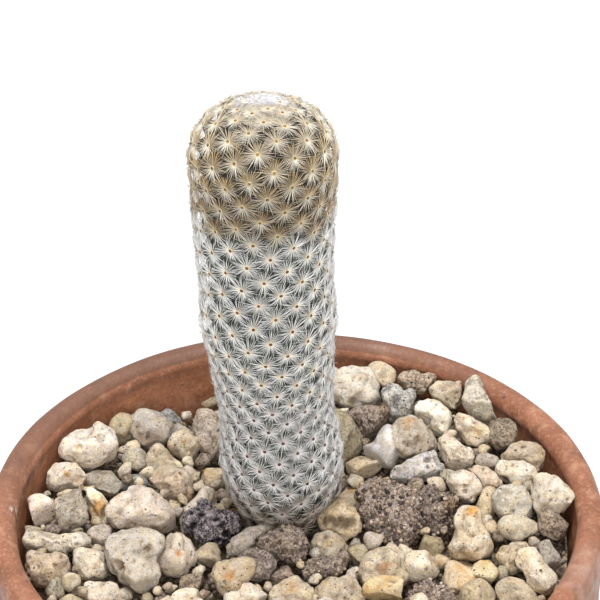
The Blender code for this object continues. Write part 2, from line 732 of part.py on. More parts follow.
def make_crown_wool(collection):
    """A low cushion of wool that caps the crown, following the dome under it."""
    radius, height = stem_profile()
    rings = [WOOL_RADIUS * i / 3 for i in range(4)]
    base = [float(np.interp(r, radius, height)) for r in rings]
    top = [(r, z + WOOL_BULGE * (1 - (r / WOOL_RADIUS) ** 2) - 0.0001) for r, z in zip(rings, base)]
    under = [(r, z - SEAT_DEPTH + 1.3 * GAP) for r, z in zip(rings, base)]
    outline = top + list(reversed(under))
    wool = turned("crown_wool", outline, False, 18, collection, "crown_wool")
    wool.location = (STEM_TOP_X, STEM_BASE[1], 0.0)
    return wool


def main():
    clear_scene()
    model = make_collection("potted_golf_ball_cactus")
    cutters = make_collection("cutters")
    make_pot(model)
    make_soil(model, cutters)
    stones = plan_stones()
    settle_stones(stones)
    make_stones(stones, model)
    make_gravel_bed(stones, model, cutters)
    make_cactus(model)
    make_crown_wool(model)
    for cutter in cutters.objects:
        cutter.hide_render = True
        cutter.display_type = "WIRE"


main()
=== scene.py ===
"""Looks for a golf ball cactus in a terracotta bowl pot dressed with pumice gravel.

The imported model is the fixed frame. Every finer piece here stands where its CAD node stands, in metres,
with +Z up. The stem's tubercles, areoles and spines follow the same golden-angle rule as the CAD stem.
"""

import math
import random

import bmesh
import bpy
import numpy as np
from mathutils import Matrix, Vector, kdtree
from mathutils.bvhtree import BVHTree


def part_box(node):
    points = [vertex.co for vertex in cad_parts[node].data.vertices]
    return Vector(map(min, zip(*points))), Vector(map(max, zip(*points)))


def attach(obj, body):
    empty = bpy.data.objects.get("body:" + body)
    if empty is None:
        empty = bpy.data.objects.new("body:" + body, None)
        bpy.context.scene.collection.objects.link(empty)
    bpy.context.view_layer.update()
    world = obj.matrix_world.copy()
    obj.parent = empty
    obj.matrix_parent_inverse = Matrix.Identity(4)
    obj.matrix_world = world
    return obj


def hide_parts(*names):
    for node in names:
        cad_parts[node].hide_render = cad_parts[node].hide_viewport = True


MM = 0.001

# Camera: the photograph's view, with the focal length in pixels of a picture 600 pixels wide, the sensor in mm
PICTURE = 600
FOCAL_PIXELS = 2270
CAMERA_TARGET = (0.00083, 0.0, 0.1239)
CAMERA_DISTANCE = 0.45
CAMERA_ELEVATION = math.radians(32.3)
SENSOR_WIDTH = 36

# Studio: half the width of the floor, the strength of the white surroundings, and the lights
FLOOR_HALF = 3.0
SURROUNDINGS = 0.68
LIGHT_TARGET = (0, 0, 0.08)
LIGHTS = (
    # name, place, width in metres and power in watts
    ("key", (-0.04, 0.02, 1.1), 0.36, 11.8),
    ("front", (0.10, -1.0, 0.55), 0.9, 8.4),
)

# Pot, as in the CAD model
POT_HEIGHT = 0.075
RIM_RADIUS = 0.065
RIM_ROLL = 0.0032
COLLAR_HEIGHT = 0.028
COLLAR_STEP = 0.0032
FOOT_RADIUS = 0.0425
DRAIN_RADIUS = 0.0055
POT_FLOOR = 0.006
INNER_WALL = ((POT_FLOOR, 0.0370), (0.0085, 0.0402), (0.052, 0.0574), (0.064, 0.0583))
POT_SIDES = 210
POT_STEP = 0.0020
# Radii beyond which the clay is that of the rim and that of the outer face
RIM_INSIDE = 0.0590
OUTER_FACE = 0.0640
# Throwing lines, the wall's wavering, the groove under the rim and the levels of the dark lines there, partly
# dirt and partly painted shade
THROWING_STEP = 0.0034
THROWING_DEPTH = 0.00007
WAVER = 0.00022
GROOVE_LEVEL = 0.0685
GROOVE_WIDTH = 0.0009
GROOVE_DEPTH = 0.0003
LIP_LEVEL = 0.0708
EDGE_LEVEL = 0.0712
# Pale scratches and lilac bloom on the pot: pixel x and y, and radius in millimetres
LIME_PLACES = ((14, 511, 1.8),)
BLOOM_PLACES = ((594, 570, 7.0), (590, 590, 7.0))

# Bed of fine gravel, as in the CAD model
BED_LEVEL = 0.0625
BED_RISE_RIGHT = 0.006
BED_RISE_LEFT = 0.002
BED_DIP = 0.003
BED_DIP_PLACE = (-0.025, 0.050)
BED_DIP_WIDTH = 0.012
BED_STEM_DIP = 0.0015
GRAVEL_WALL_RADIUS = 0.0573

# Stem, as in the CAD model, with the true number of areoles
STEM_BASE = (-0.0022, 0.010)
STEM_TOP_X = -0.0064
BEND_TOP = 0.136
BEND_LENGTH = 0.067
DOME_LEVEL = 0.150
DOME_HEIGHT = 0.0122
DOME_POWER = 2.4
STEM_RADII = (
    (0.150, 0.0149), (0.141, 0.0146), (0.132, 0.0142), (0.123, 0.0138), (0.114, 0.0142),
    (0.104, 0.0130), (0.091, 0.0121), (0.079, 0.0131), (0.072, 0.0125), (0.066, 0.0100), (0.057, 0.0088),
)
GOLDEN_ANGLE = math.radians(137.508)
# Stem surface to each areole in square millimetres, and the turn of the spiral in degrees, at a few heights
CELL_AREAS = (
    (0.060, 20.0), (0.090, 16.5), (0.101, 16.5), (0.112, 21.5),
    (0.155, 22.0), (0.1603, 19.0), (0.1610, 11.0), (0.1614, 6.0),
)
STEM_TWIST = ((0.085, 86.0), (0.160, 58.0))
# Youngest areoles, which the wool hides, left out of the spiral
CROWN_SKIPPED = 11
# How far the spines stand out from the skin, how far the skin is lifted, and depth between the tubercles
SPINE_RISE = 0.0008
SKIN_LIFT = 0.00022
VALLEY_DEPTH = 0.0022
# Spines on each areole, their length as a share of the areole's width of skin, and their radius
SPINES_EACH = 48
SPINE_LENGTH = 0.80
SPINE_RADIUS = 0.000076
# How far the spines rise from the skin, as shares of their length
SPINE_LIFTS = (0.04, 0.35)
# Radius of the brown dot in the middle of each areole, and radius and rise of the rings of its cushion
DOT_RADIUS = 0.00033
CUSHION_RINGS = ((0.00049, -0.00030), (0.00046, 0.00008), (0.00039, 0.00020), (DOT_RADIUS, 0.00024))
CUSHION_SIDES = 8
# Heights above which the spines are tan, and below which they are pinkish, and how softly each zone begins
TAN_BORDER = 0.1388
TAN_FADE = 0.0022
LOW_BORDER = 0.100
LOW_FADE = 0.012
# Height below which soil has stained the spines
SOILED_LEVEL = 0.0790
# Sides of the stem's skin and its step along the profile
BODY_SIDES = 176
BODY_STEP = 0.00055
# The wool, its fibres, and how far from the crown's middle the youngest spines stand
WOOL_RADIUS = 0.0062
WOOL_STEP = 0.00024
WOOL_FIBRES = 2400
FIBRE_LENGTHS = (0.0008, 0.0020)
FIBRE_RADIUS = 0.00005
YOUNGEST_AREOLE = 0.0026
# Bare part of the wool: half its width, half its depth, and how far behind the crown's middle it lies
BARE_WOOL = (0.0056, 0.0029)
BARE_WOOL_BACK = 0.0029


# Seeded noise on arrays of points

# Large odd factors that scatter the bits of whole numbers, and the bits that are kept
AXIS_FACTORS = (73856093, 19349663, 83492791)
SEED_FACTOR = 2654435761
BIT_FACTORS = (0x2C1B3C6D, 0x297A2D39)
LOW_BITS = 0xFFFFFFFF
LAST_BITS = 0xFFFFFF


def hashed(cell, seed):
    """Even random numbers from 0 to 1 for rows of whole numbers."""
    cell = cell.astype(np.uint64)
    mixed = np.uint64(seed * SEED_FACTOR % 2 ** 32)
    for axis, factor in enumerate(AXIS_FACTORS):
        mixed = mixed ^ cell[..., axis] * np.uint64(factor)
    for factor in BIT_FACTORS:
        mixed &= np.uint64(LOW_BITS)
        mixed = (mixed ^ (mixed >> np.uint64(15))) * np.uint64(factor)
    mixed &= np.uint64(LOW_BITS)
    return ((mixed ^ (mixed >> np.uint64(15))) & np.uint64(LAST_BITS)) / float(LAST_BITS)


def smooth_noise(points, size, seed):
    """Smooth random numbers from -1 to 1 with features of one size."""
    spots = points / size
    cell = np.floor(spots).astype(np.int64)
    part = spots - cell
    part = part * part * (3 - 2 * part)
    total = np.zeros(len(points))
    for corner in np.ndindex(2, 2, 2):
        weight = np.prod(np.where(corner, part, 1 - part), axis=1)
        total += weight * hashed(cell + corner, seed)
    return 2 * total - 1


def rough_noise(points, size, octaves, seed):
    """Several sizes of smooth noise, each half as large and a bit over half as strong as the one before."""
    total = np.zeros(len(points))
    strength = 1.0
    for i in range(octaves):
        total += strength * smooth_noise(points + 0.37 * i * size, size / 2 ** i, seed + i)
        strength *= 0.55
    return total


def nearest_pore(points, size, seed):
    """Distance to the nearest of the pores strewn one to a cell, in cells, and that pore's own number."""
    spots = points / size
    cell = np.floor(spots).astype(np.int64)
    best = np.full(len(points), 9.0)
    number = np.zeros(len(points))
    for offset in np.ndindex(3, 3, 3):
        other = cell + offset - 1
        middle = other + np.stack([hashed(other, seed + axis) for axis in range(3)], axis=1)
        distance = np.linalg.norm(spots - middle, axis=1)
        nearer = distance < best
        best[nearer] = distance[nearer]
        number[nearer] = hashed(other[nearer], seed + 7)
    return best, number


def ease(value):
    t = np.clip(value, 0.0, 1.0)
    return t * t * (3 - 2 * t)


def blended(first, second, share):
    return first * (1 - share) + second * share


# Meshes and pieces

def add_object(name, data):
    obj = bpy.data.objects.new(name, data)
    bpy.context.scene.collection.objects.link(obj)
    return obj


def mesh_object(name, places, faces):
    mesh = bpy.data.meshes.new(name)
    mesh.from_pydata(np.asarray(places).tolist(), [], faces)
    mesh.update()
    return add_object(name, mesh)


def face_tree(mesh):
    """A tree of a mesh's faces for rays."""
    places = [vert.co for vert in mesh.vertices]
    return BVHTree.FromPolygons(places, [tuple(face.vertices) for face in mesh.polygons])


def band_faces(rings, sides, first=0):
    """Faces that join each ring of vertices to the next one, which lies outside or under it."""
    faces = []
    for low in range(first, first + (rings - 1) * sides, sides):
        high = low + sides
        faces += [(low + j, high + j, high + (j + 1) % sides, low + (j + 1) % sides) for j in range(sides)]
    return faces


def tube_faces(rings, sides):
    """Faces around a small tube of rings, and from its last ring to one last point."""
    faces = []
    for low in range(0, (rings - 1) * sides, sides):
        high = low + sides
        faces += [(low + j, low + (j + 1) % sides, high + (j + 1) % sides, high + j) for j in range(sides)]
    top = (rings - 1) * sides
    return faces + [(top + j, top + (j + 1) % sides, rings * sides) for j in range(sides)]


def repeated_faces(pattern, count, corners):
    """The faces of many like pieces, each with its own run of corners."""
    return [tuple(corners * i + j for j in face) for i in range(count) for face in pattern]


def places_of(mesh):
    places = np.empty(len(mesh.vertices) * 3)
    mesh.vertices.foreach_get("co", places)
    return places.reshape(-1, 3)


def normals_of(mesh):
    normals = np.empty(len(mesh.vertices) * 3, np.float32)
    mesh.vertex_normals.foreach_get("vector", normals)
    return normals.reshape(-1, 3).astype(float)


def set_places(mesh, places):
    mesh.vertices.foreach_set("co", np.asarray(places).ravel())
    mesh.update()


def set_numbers(mesh, name, values):
    numbers = mesh.attributes.new(name, "FLOAT", "POINT")
    numbers.data.foreach_set("value", np.asarray(values, np.float32))


def set_colours(mesh, name, values):
    """Colours from rows of red, green and blue, one a vertex."""
    colours = mesh.attributes.new(name, "FLOAT_COLOR", "POINT")
    rows = np.ones((len(mesh.vertices), 4), np.float32)
    rows[:, :3] = values
    colours.data.foreach_set("color", rows.ravel())


def finish_piece(obj, slot, material, *nodes):
    """Smooth shading, a material, its body and the hiding of the CAD nodes that the piece stands for; the slot
    is not used.
    """
    obj.data.polygons.foreach_set("use_smooth", [True] * len(obj.data.polygons))
    obj.data.materials.clear()
    obj.data.materials.append(material)
    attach(obj, "root")
    if nodes:
        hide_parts(*nodes)


# Camera, floor and light

def camera_axes():
    back = Vector((0, -math.cos(CAMERA_ELEVATION), math.sin(CAMERA_ELEVATION)))
    up = Vector((0, math.sin(CAMERA_ELEVATION), math.cos(CAMERA_ELEVATION)))
    return Vector(CAMERA_TARGET) + back * CAMERA_DISTANCE, back, up


def seen_along(pixel_x, pixel_y):
    """The camera's place and the direction in which it sees a pixel of the photograph."""
    place, back, up = camera_axes()
    half = PICTURE / 2
    direction = Vector((1, 0, 0)) * (pixel_x - half) + up * (half - pixel_y) - back * FOCAL_PIXELS
    return place, direction.normalized()


def add_camera():
    data = bpy.data.cameras.new("camera")
    data.sensor_width = SENSOR_WIDTH
    data.lens = SENSOR_WIDTH * FOCAL_PIXELS / PICTURE
    data.clip_start = 0.01
    camera = add_object("camera", data)
    camera.location = camera_axes()[0]
    camera.rotation_euler = (math.radians(90) - CAMERA_ELEVATION, 0, 0)
    bpy.context.scene.camera = camera


def add_floor():
    corners = [(-FLOOR_HALF, -FLOOR_HALF, 0), (FLOOR_HALF, -FLOOR_HALF, 0)]
    corners += [(FLOOR_HALF, FLOOR_HALF, 0), (-FLOOR_HALF, FLOOR_HALF, 0)]
    floor = mesh_object("floor", corners, [(0, 1, 2, 3)])
    material, tree, shader = new_material("pale_floor", 0.9, 0.5)
    put(tree, shader.inputs["Base Color"], (0.74, 0.74, 0.74))
    floor.data.materials.append(material)


def add_area_light(name, place, width, power):
    data = bpy.data.lights.new(name, "AREA")
    data.shape = "DISK"
    data.size = width
    data.energy = power
    light = add_object(name, data)
    light.location = place
    light.rotation_euler = (Vector(LIGHT_TARGET) - Vector(place)).to_track_quat("-Z", "Y").to_euler()


def add_light():
    world = bpy.data.worlds.new("studio")
    world.use_nodes = True
    background = world.node_tree.nodes["Background"]
    background.inputs["Color"].default_value = (1, 1, 1, 1)
    background.inputs["Strength"].default_value = SURROUNDINGS
    bpy.context.scene.world = world
    for light in LIGHTS:
        add_area_light(*light)
    view = bpy.context.scene.view_settings
    view.view_transform = "Standard"
    view.look = "None"
    view.exposure = 0.0
    view.gamma = 1.0


# Short ways to add shader nodes

def new_material(name, roughness, specular):
    material = bpy.data.materials.new(name)
    material.use_nodes = True
    shader = material.node_tree.nodes["Principled BSDF"]
    shader.inputs["Roughness"].default_value = roughness
    shader.inputs["Specular IOR Level"].default_value = specular
    return material, material.node_tree, shader


def put(tree, socket, value):
    """Set a socket to a number or colour, or link another node's socket to it."""
    if isinstance(value, bpy.types.NodeSocket):
        tree.links.new(value, socket)
    elif isinstance(value, (tuple, list)) and len(value) == 3 and socket.type == "RGBA":
        socket.default_value = (*value, 1)
    else:
        socket.default_value = value


def coordinates(tree, stretch=None):
    """Metres in the object's own frame, with an optional stretch of each axis."""
    node = tree.nodes.new("ShaderNodeTexCoord").outputs["Object"]
    if stretch is None:
        return node
    scaled = tree.nodes.new("ShaderNodeVectorMath")
    scaled.operation = "MULTIPLY"
    put(tree, scaled.inputs[0], node)
    scaled.inputs[1].default_value = stretch
    return scaled.outputs["Vector"]


def noise(tree, size, detail, seed, stretch=None, distortion=0.0, roughness=0.6):
    node = tree.nodes.new("ShaderNodeTexNoise")
    node.noise_dimensions = "4D"
    put(tree, node.inputs["Vector"], coordinates(tree, stretch))
    node.inputs["W"].default_value = seed
    node.inputs["Scale"].default_value = 1 / size
    node.inputs["Detail"].default_value = detail
    node.inputs["Roughness"].default_value = roughness
    node.inputs["Distortion"].default_value = distortion
    return node.outputs["Fac"]


def cells(tree, size, output="Distance", seed=0.0, stretch=None):
    node = tree.nodes.new("ShaderNodeTexVoronoi")
    node.voronoi_dimensions = "4D"
    put(tree, node.inputs["Vector"], coordinates(tree, stretch))
    node.inputs["W"].default_value = seed
    node.inputs["Scale"].default_value = 1 / size
    return node.outputs[output]


def attribute(tree, name, output="Fac"):
    node = tree.nodes.new("ShaderNodeAttribute")
    node.attribute_name = name
    return node.outputs[output]


def spread(tree, value, low, high, to_low=0.0, to_high=1.0):
    """A value's range from low to high, eased on to another range."""
    node = tree.nodes.new("ShaderNodeMapRange")
    node.interpolation_type = "SMOOTHSTEP"
    put(tree, node.inputs["Value"], value)
    for name, number in (("From Min", low), ("From Max", high), ("To Min", to_low), ("To Max", to_high)):
        node.inputs[name].default_value = number
    return node.outputs["Result"]


def patches(tree, size, detail, seed, low, high, strength=1.0, **form):
    """Soft-edged patches of noise of one size."""
    return spread(tree, noise(tree, size, detail, seed, **form), low, high, 0.0, strength)


def calculate(tree, operation, first, second):
    node = tree.nodes.new("ShaderNodeMath")
    node.operation = operation
    put(tree, node.inputs[0], first)
    put(tree, node.inputs[1], second)
    return node.outputs["Value"]


def mix(tree, share, first, second, blend="MIX"):
    node = tree.nodes.new("ShaderNodeMix")
    node.data_type = "RGBA"
    node.blend_type = blend
    put(tree, node.inputs["Factor"], share)
    put(tree, node.inputs["A"], first)
    put(tree, node.inputs["B"], second)
    return node.outputs["Result"]


def painted(tree, base, name, texture, colour):
    """A colour laid over the base where the mesh's own mask and a texture both are."""
    return mix(tree, calculate(tree, "MULTIPLY", attribute(tree, name), texture), base, colour)


def multiplied(tree, base, colour):
    return mix(tree, 1.0, base, colour, "MULTIPLY")


def bump(tree, shader, height, distance):
    node = tree.nodes.new("ShaderNodeBump")
    node.inputs["Strength"].default_value = 1.0
    node.inputs["Distance"].default_value = distance
    put(tree, node.inputs["Height"], height)
    before = shader.inputs["Normal"].links
    if before:
        put(tree, node.inputs["Normal"], before[0].from_socket)
    put(tree, shader.inputs["Normal"], node.outputs["Normal"])


# Pot

def arc(centre, radius, start, end, steps):
    turns = [math.radians(start + (end - start) * i / steps) for i in range(steps + 1)]
    return [(centre[0] + radius * math.cos(a), centre[1] + radius * math.sin(a)) for a in turns]


def pot_outline():
    """Radius and height from the drain's top, over the rim and down the outside, back to the drain."""
    roll = (RIM_RADIUS - RIM_ROLL, POT_HEIGHT - RIM_ROLL)
    collar = POT_HEIGHT - COLLAR_HEIGHT
    inner = [(DRAIN_RADIUS, POT_FLOOR), *[(r, z) for z, r in INNER_WALL]]
    top = arc(roll, RIM_ROLL, 190, 0, 26)
    outside = [
        (RIM_RADIUS - 0.0002, POT_HEIGHT - 0.012), (RIM_RADIUS - 0.0004, collar - 0.001),
        (RIM_RADIUS - 0.0012, collar - 0.0032), (RIM_RADIUS - COLLAR_STEP, collar - 0.004),
        (FOOT_RADIUS + 0.0012, 0.0016), (FOOT_RADIUS, 0.0), (DRAIN_RADIUS, 0.0),
    ]
    return inner + top + outside


def resampled(outline, step):
    """An outline with points at even steps, its corners kept."""
    points = []
    for (r0, z0), (r1, z1) in zip(outline, outline[1:] + outline[:1]):
        count = max(1, round(math.hypot(r1 - r0, z1 - z0) / step))
        points += [(r0 + (r1 - r0) * i / count, z0 + (z1 - z0) * i / count) for i in range(count)]
    return points


def placed_share(mesh, places, rows):
    """How far each place lies within any of the rows' spots, given by pixel and radius in millimetres."""
    skin = face_tree(mesh)
    share = np.zeros(len(places))
    for pixel_x, pixel_y, radius in rows:
        spot = skin.ray_cast(*seen_along(pixel_x, pixel_y))[0]
        if spot:
            away = np.linalg.norm(places - np.array(spot), axis=1) / (radius * MM)
            share = np.maximum(share, ease(1.3 - away))
    return share


def pot_relief(places, out, radius, height, within):
    """How far each place on the pot stands out from its turned shape."""
    line = THROWING_DEPTH * np.sin(height / THROWING_STEP * math.tau + 0.8 * smooth_noise(places, 0.03, 3))
    waver = WAVER * smooth_noise(places, 0.024, 5) + 0.00008 * smooth_noise(places, 0.006, 6)
    under = (height - GROOVE_LEVEL - 0.0004 * out[:, 0]) / GROOVE_WIDTH
    groove = -GROOVE_DEPTH * np.exp(-under ** 2) * within
    fixed = ease((height - 0.002) / 0.004) * ease((radius - DRAIN_RADIUS) / 0.004)
    inside = np.where(within, -1.0, 1.0)
    move = (line * (abs(height - POT_HEIGHT) > 0.003) + waver) * fixed * inside - groove
    return move - 0.0003 * fixed * (radius > OUTER_FACE)


def mask_pot(mesh, places, radius, height, within):
    """Masks for the dark lines of dirt and painted shade, the painted shade towards the back, the inner wall,
    the scratches and the bloom.
    """
    broken = ease(0.5 + 0.9 * smooth_noise(places, 0.011, 9))
    # The band under the inner lip and the thin line at the rim's outer edge darken the clay: partly dirt,
    # partly painted shade.
    lip = np.exp(-((height - LIP_LEVEL) / 0.0011) ** 2) * within * broken
    edge = np.exp(-((height - EDGE_LEVEL) / 0.0008) ** 2) * (radius > OUTER_FACE)
    set_numbers(mesh, "grime", np.maximum(lip, 0.55 * edge))
    # Painted shade: the rim and the outer face darken towards the back.
    aged = 0.72 * ease((places[:, 1] - 0.45 * places[:, 0] - 0.0075) / 0.050)
    set_numbers(mesh, "aged", aged * ((radius > RIM_INSIDE) | ~within))
    set_numbers(mesh, "inside", within * ease((0.0715 - height) / 0.002))
    set_numbers(mesh, "lime", placed_share(mesh, places, LIME_PLACES))
    set_numbers(mesh, "bloom", placed_share(mesh, places, BLOOM_PLACES))


def make_pot():
    """A turned pot whose walls waver a little and carry faint throwing lines."""
    outline = np.array(resampled(pot_outline(), POT_STEP))
    rows = len(outline)
    turns = np.arange(POT_SIDES) * math.tau / POT_SIDES
    ring = np.stack([np.cos(turns), np.sin(turns), np.zeros(POT_SIDES)], axis=1)
    within = np.repeat(np.arange(rows) < outline[:, 1].argmax(), POT_SIDES)
    radius, height = np.repeat(outline, POT_SIDES, axis=0).T
    out = np.tile(ring, (rows, 1))
    places = out * radius[:, None]
    places[:, 2] = height
    places += out * pot_relief(places, out, radius, height, within)[:, None]
    faces = []
    for i in range(rows):
        low, high = i * POT_SIDES, (i + 1) % rows * POT_SIDES
        for j in range(POT_SIDES):
            after = (j + 1) % POT_SIDES
            faces.append((low + j, low + after, high + after, high + j))
    pot = mesh_object("terracotta_pot", places, faces)
    form = bmesh.new()
    form.from_mesh(pot.data)
    bmesh.ops.recalc_face_normals(form, faces=form.faces)
    form.to_mesh(pot.data)
    form.free()
    mask_pot(pot.data, places, radius, height, within)
    finish_piece(pot, "pot", terracotta(), "pot")


def terracotta():
    material, tree, shader = new_material("terracotta", 0.55, 0.35)
    base = mix(tree, patches(tree, 0.014, 4, 1.0, 0.35, 0.65), (0.222, 0.085, 0.043), (0.322, 0.135, 0.074))
    ruddy = spread(tree, noise(tree, 0.009, 3, 9.0), 0.35, 0.6, 0.2, 0.9)
    base = painted(tree, base, "inside", ruddy, (0.40, 0.165, 0.075))
    base = mix(tree, patches(tree, 0.0010, 4, 2.0, 0.42, 0.70, 0.75), base, (0.20, 0.080, 0.048))
    base = mix(tree, patches(tree, 0.0036, 6, 3.0, 0.50, 0.68, 0.6), base, (0.46, 0.242, 0.152))
    base = mix(tree, patches(tree, 0.0006, 3, 10.0, 0.52, 0.70, 0.5), base, (0.49, 0.268, 0.172))
    stains = patches(tree, 0.010, 6, 4.0, 0.55, 0.70, 0.6, distortion=0.6)
    base = mix(tree, stains, base, (0.095, 0.045, 0.032))
    # Painted shade towards the back of the pot.
    base = mix(tree, attribute(tree, "aged"), base, (0.115, 0.058, 0.038))
    base = mix(tree, patches(tree, 0.0016, 2, 5.0, 0.68, 0.75, 0.8), base, (0.06, 0.032, 0.028))
    # Dark lines under the lip and along the outer edge: partly dirt, partly painted shade.
    dirt_and_shade = spread(tree, noise(tree, 0.0022, 5, 11.0), 0.40, 0.58, 0.15, 1.0)
    base = painted(tree, base, "grime", dirt_and_shade, (0.060, 0.045, 0.045))
    scratches = patches(tree, 0.0011, 4, 12.0, 0.52, 0.60, stretch=(1.0, 0.35, 1.0))
    base = painted(tree, base, "lime", scratches, (0.52, 0.44, 0.38))
    haze = spread(tree, noise(tree, 0.004, 4, 13.0), 0.35, 0.65, 0.15, 0.7)
    base = painted(tree, base, "bloom", haze, (0.335, 0.228, 0.182))
    put(tree, shader.inputs["Base Color"], base)
    put(tree, shader.inputs["Roughness"], spread(tree, noise(tree, 0.006, 4, 6.0), 0.3, 0.7, 0.38, 0.66))
    bump(tree, shader, noise(tree, 0.0009, 4, 7.0), 0.00016)
    bump(tree, shader, noise(tree, 0.005, 3, 8.0), 0.0004)
    return material


# Stones

# How smooth or rough each kind of stone is
STONE_LOOKS = {
    # smoothing steps; unevenness 6, 2.5 and 1 mm across; size and depth of pores; share of cells with one
    "pumice": (9, 0.00055, 0.00028, 0.00010, 0.0011, 0.00045, 0.16),
    "tan": (8, 0.00060, 0.00032, 0.00012, 0.0011, 0.00045, 0.20),
    "orange": (8, 0.00060, 0.00032, 0.00012, 0.0011, 0.00045, 0.20),
    "olive": (8, 0.00060, 0.00034, 0.00014, 0.0012, 0.00040, 0.22),
    "brown": (6, 0.00065, 0.00050, 0.00026, 0.0010, 0.00055, 0.50),
    "grey": (5, 0.00060, 0.00040, 0.00018, 0.0011, 0.00030, 0.20),
    "blue_grey": (4, 0.00070, 0.00050, 0.00022, 0.0011, 0.00030, 0.25),
    "quartz": (14, 0.00040, 0.00012, 0.00002, 0.0020, 0.0, 0.0),
    "lava": (3, 0.00080, 0.00060, 0.00045, 0.0010, 0.00090, 0.95),
    "soil_clod": (5, 0.00080, 0.00060, 0.00030, 0.0009, -0.00035, 0.60),
}

# Colours of each kind of stone
STONE_COLOURS = {
    # pale, middle, stained and dark tones
    "pumice": ((0.73, 0.640, 0.53), (0.57, 0.480, 0.38), (0.56, 0.42, 0.26), (0.15, 0.105, 0.075)),
    "tan": ((0.67, 0.560, 0.43), (0.50, 0.400, 0.29), (0.50, 0.34, 0.19), (0.13, 0.088, 0.060)),
    "orange": ((0.70, 0.585, 0.42), (0.58, 0.440, 0.27), (0.56, 0.34, 0.13), (0.16, 0.100, 0.060)),
    "olive": ((0.50, 0.420, 0.30), (0.37, 0.300, 0.20), (0.30, 0.22, 0.12), (0.10, 0.075, 0.050)),
    "brown": ((0.42, 0.335, 0.27), (0.25, 0.190, 0.15), (0.33, 0.22, 0.13), (0.060, 0.040, 0.032)),
    "grey": ((0.57, 0.510, 0.43), (0.43, 0.375, 0.31), (0.38, 0.31, 0.22), (0.110, 0.090, 0.075)),
    "blue_grey": ((0.48, 0.465, 0.43), (0.26, 0.260, 0.26), (0.14, 0.14, 0.15), (0.050, 0.050, 0.055)),
    "quartz": ((0.72, 0.670, 0.62), (0.60, 0.550, 0.50), (0.56, 0.49, 0.41), (0.36, 0.330, 0.310)),
    # The lava's pale tone, in fine grains and patches on the near-black, is painted glints: painted
    # highlights.
    "lava": ((0.42, 0.360, 0.375), (0.054, 0.045, 0.050), (0.16, 0.12, 0.10), (0.006, 0.005, 0.006)),
    "soil_clod": ((0.47, 0.385, 0.320), (0.270, 0.205, 0.165), (0.32, 0.23, 0.15), (0.060, 0.043, 0.035)),
}
# Stones whose finish is another kind's
OWN_KINDS = {"brown_stone_01": "grey"}
# How much lighter the pale and middle tones are made, and the kinds that shine
BRIGHTENED = 1.12
GLOSSY = ("quartz", "lava")
# Size of the grains of a kind
GRAIN_SIZES = {"soil_clod": 0.00045, "lava": 0.00034}
# Share of a kind's surface that is stained, and how strong its grains stand out in other colours
STAINED = {"pumice": 0.24, "tan": 0.40, "orange": 0.55, "olive": 0.45, "brown": 0.40, "grey": 0.25}
# The lava's strong grains strew its pale tone as painted glints.
GRAINY = {
    "brown": 0.60, "soil_clod": 0.60, "lava": 0.80, "blue_grey": 0.45,
    "grey": 0.35, "olive": 0.30, "tan": 0.12,
}
# Stains, each a colour by which a mark multiplies its stone's own
STAINS = {
    "ochre": (0.95, 0.62, 0.26), "yellow": (1.05, 0.90, 0.52), "rust": (0.72, 0.38, 0.14),
    "brown": (0.42, 0.32, 0.25), "umber": (0.20, 0.15, 0.115), "black": (0.16, 0.13, 0.12),
    "olive": (0.62, 0.58, 0.36), "pink": (1.02, 0.88, 0.80), "white": (1.25, 1.22, 1.20),
}
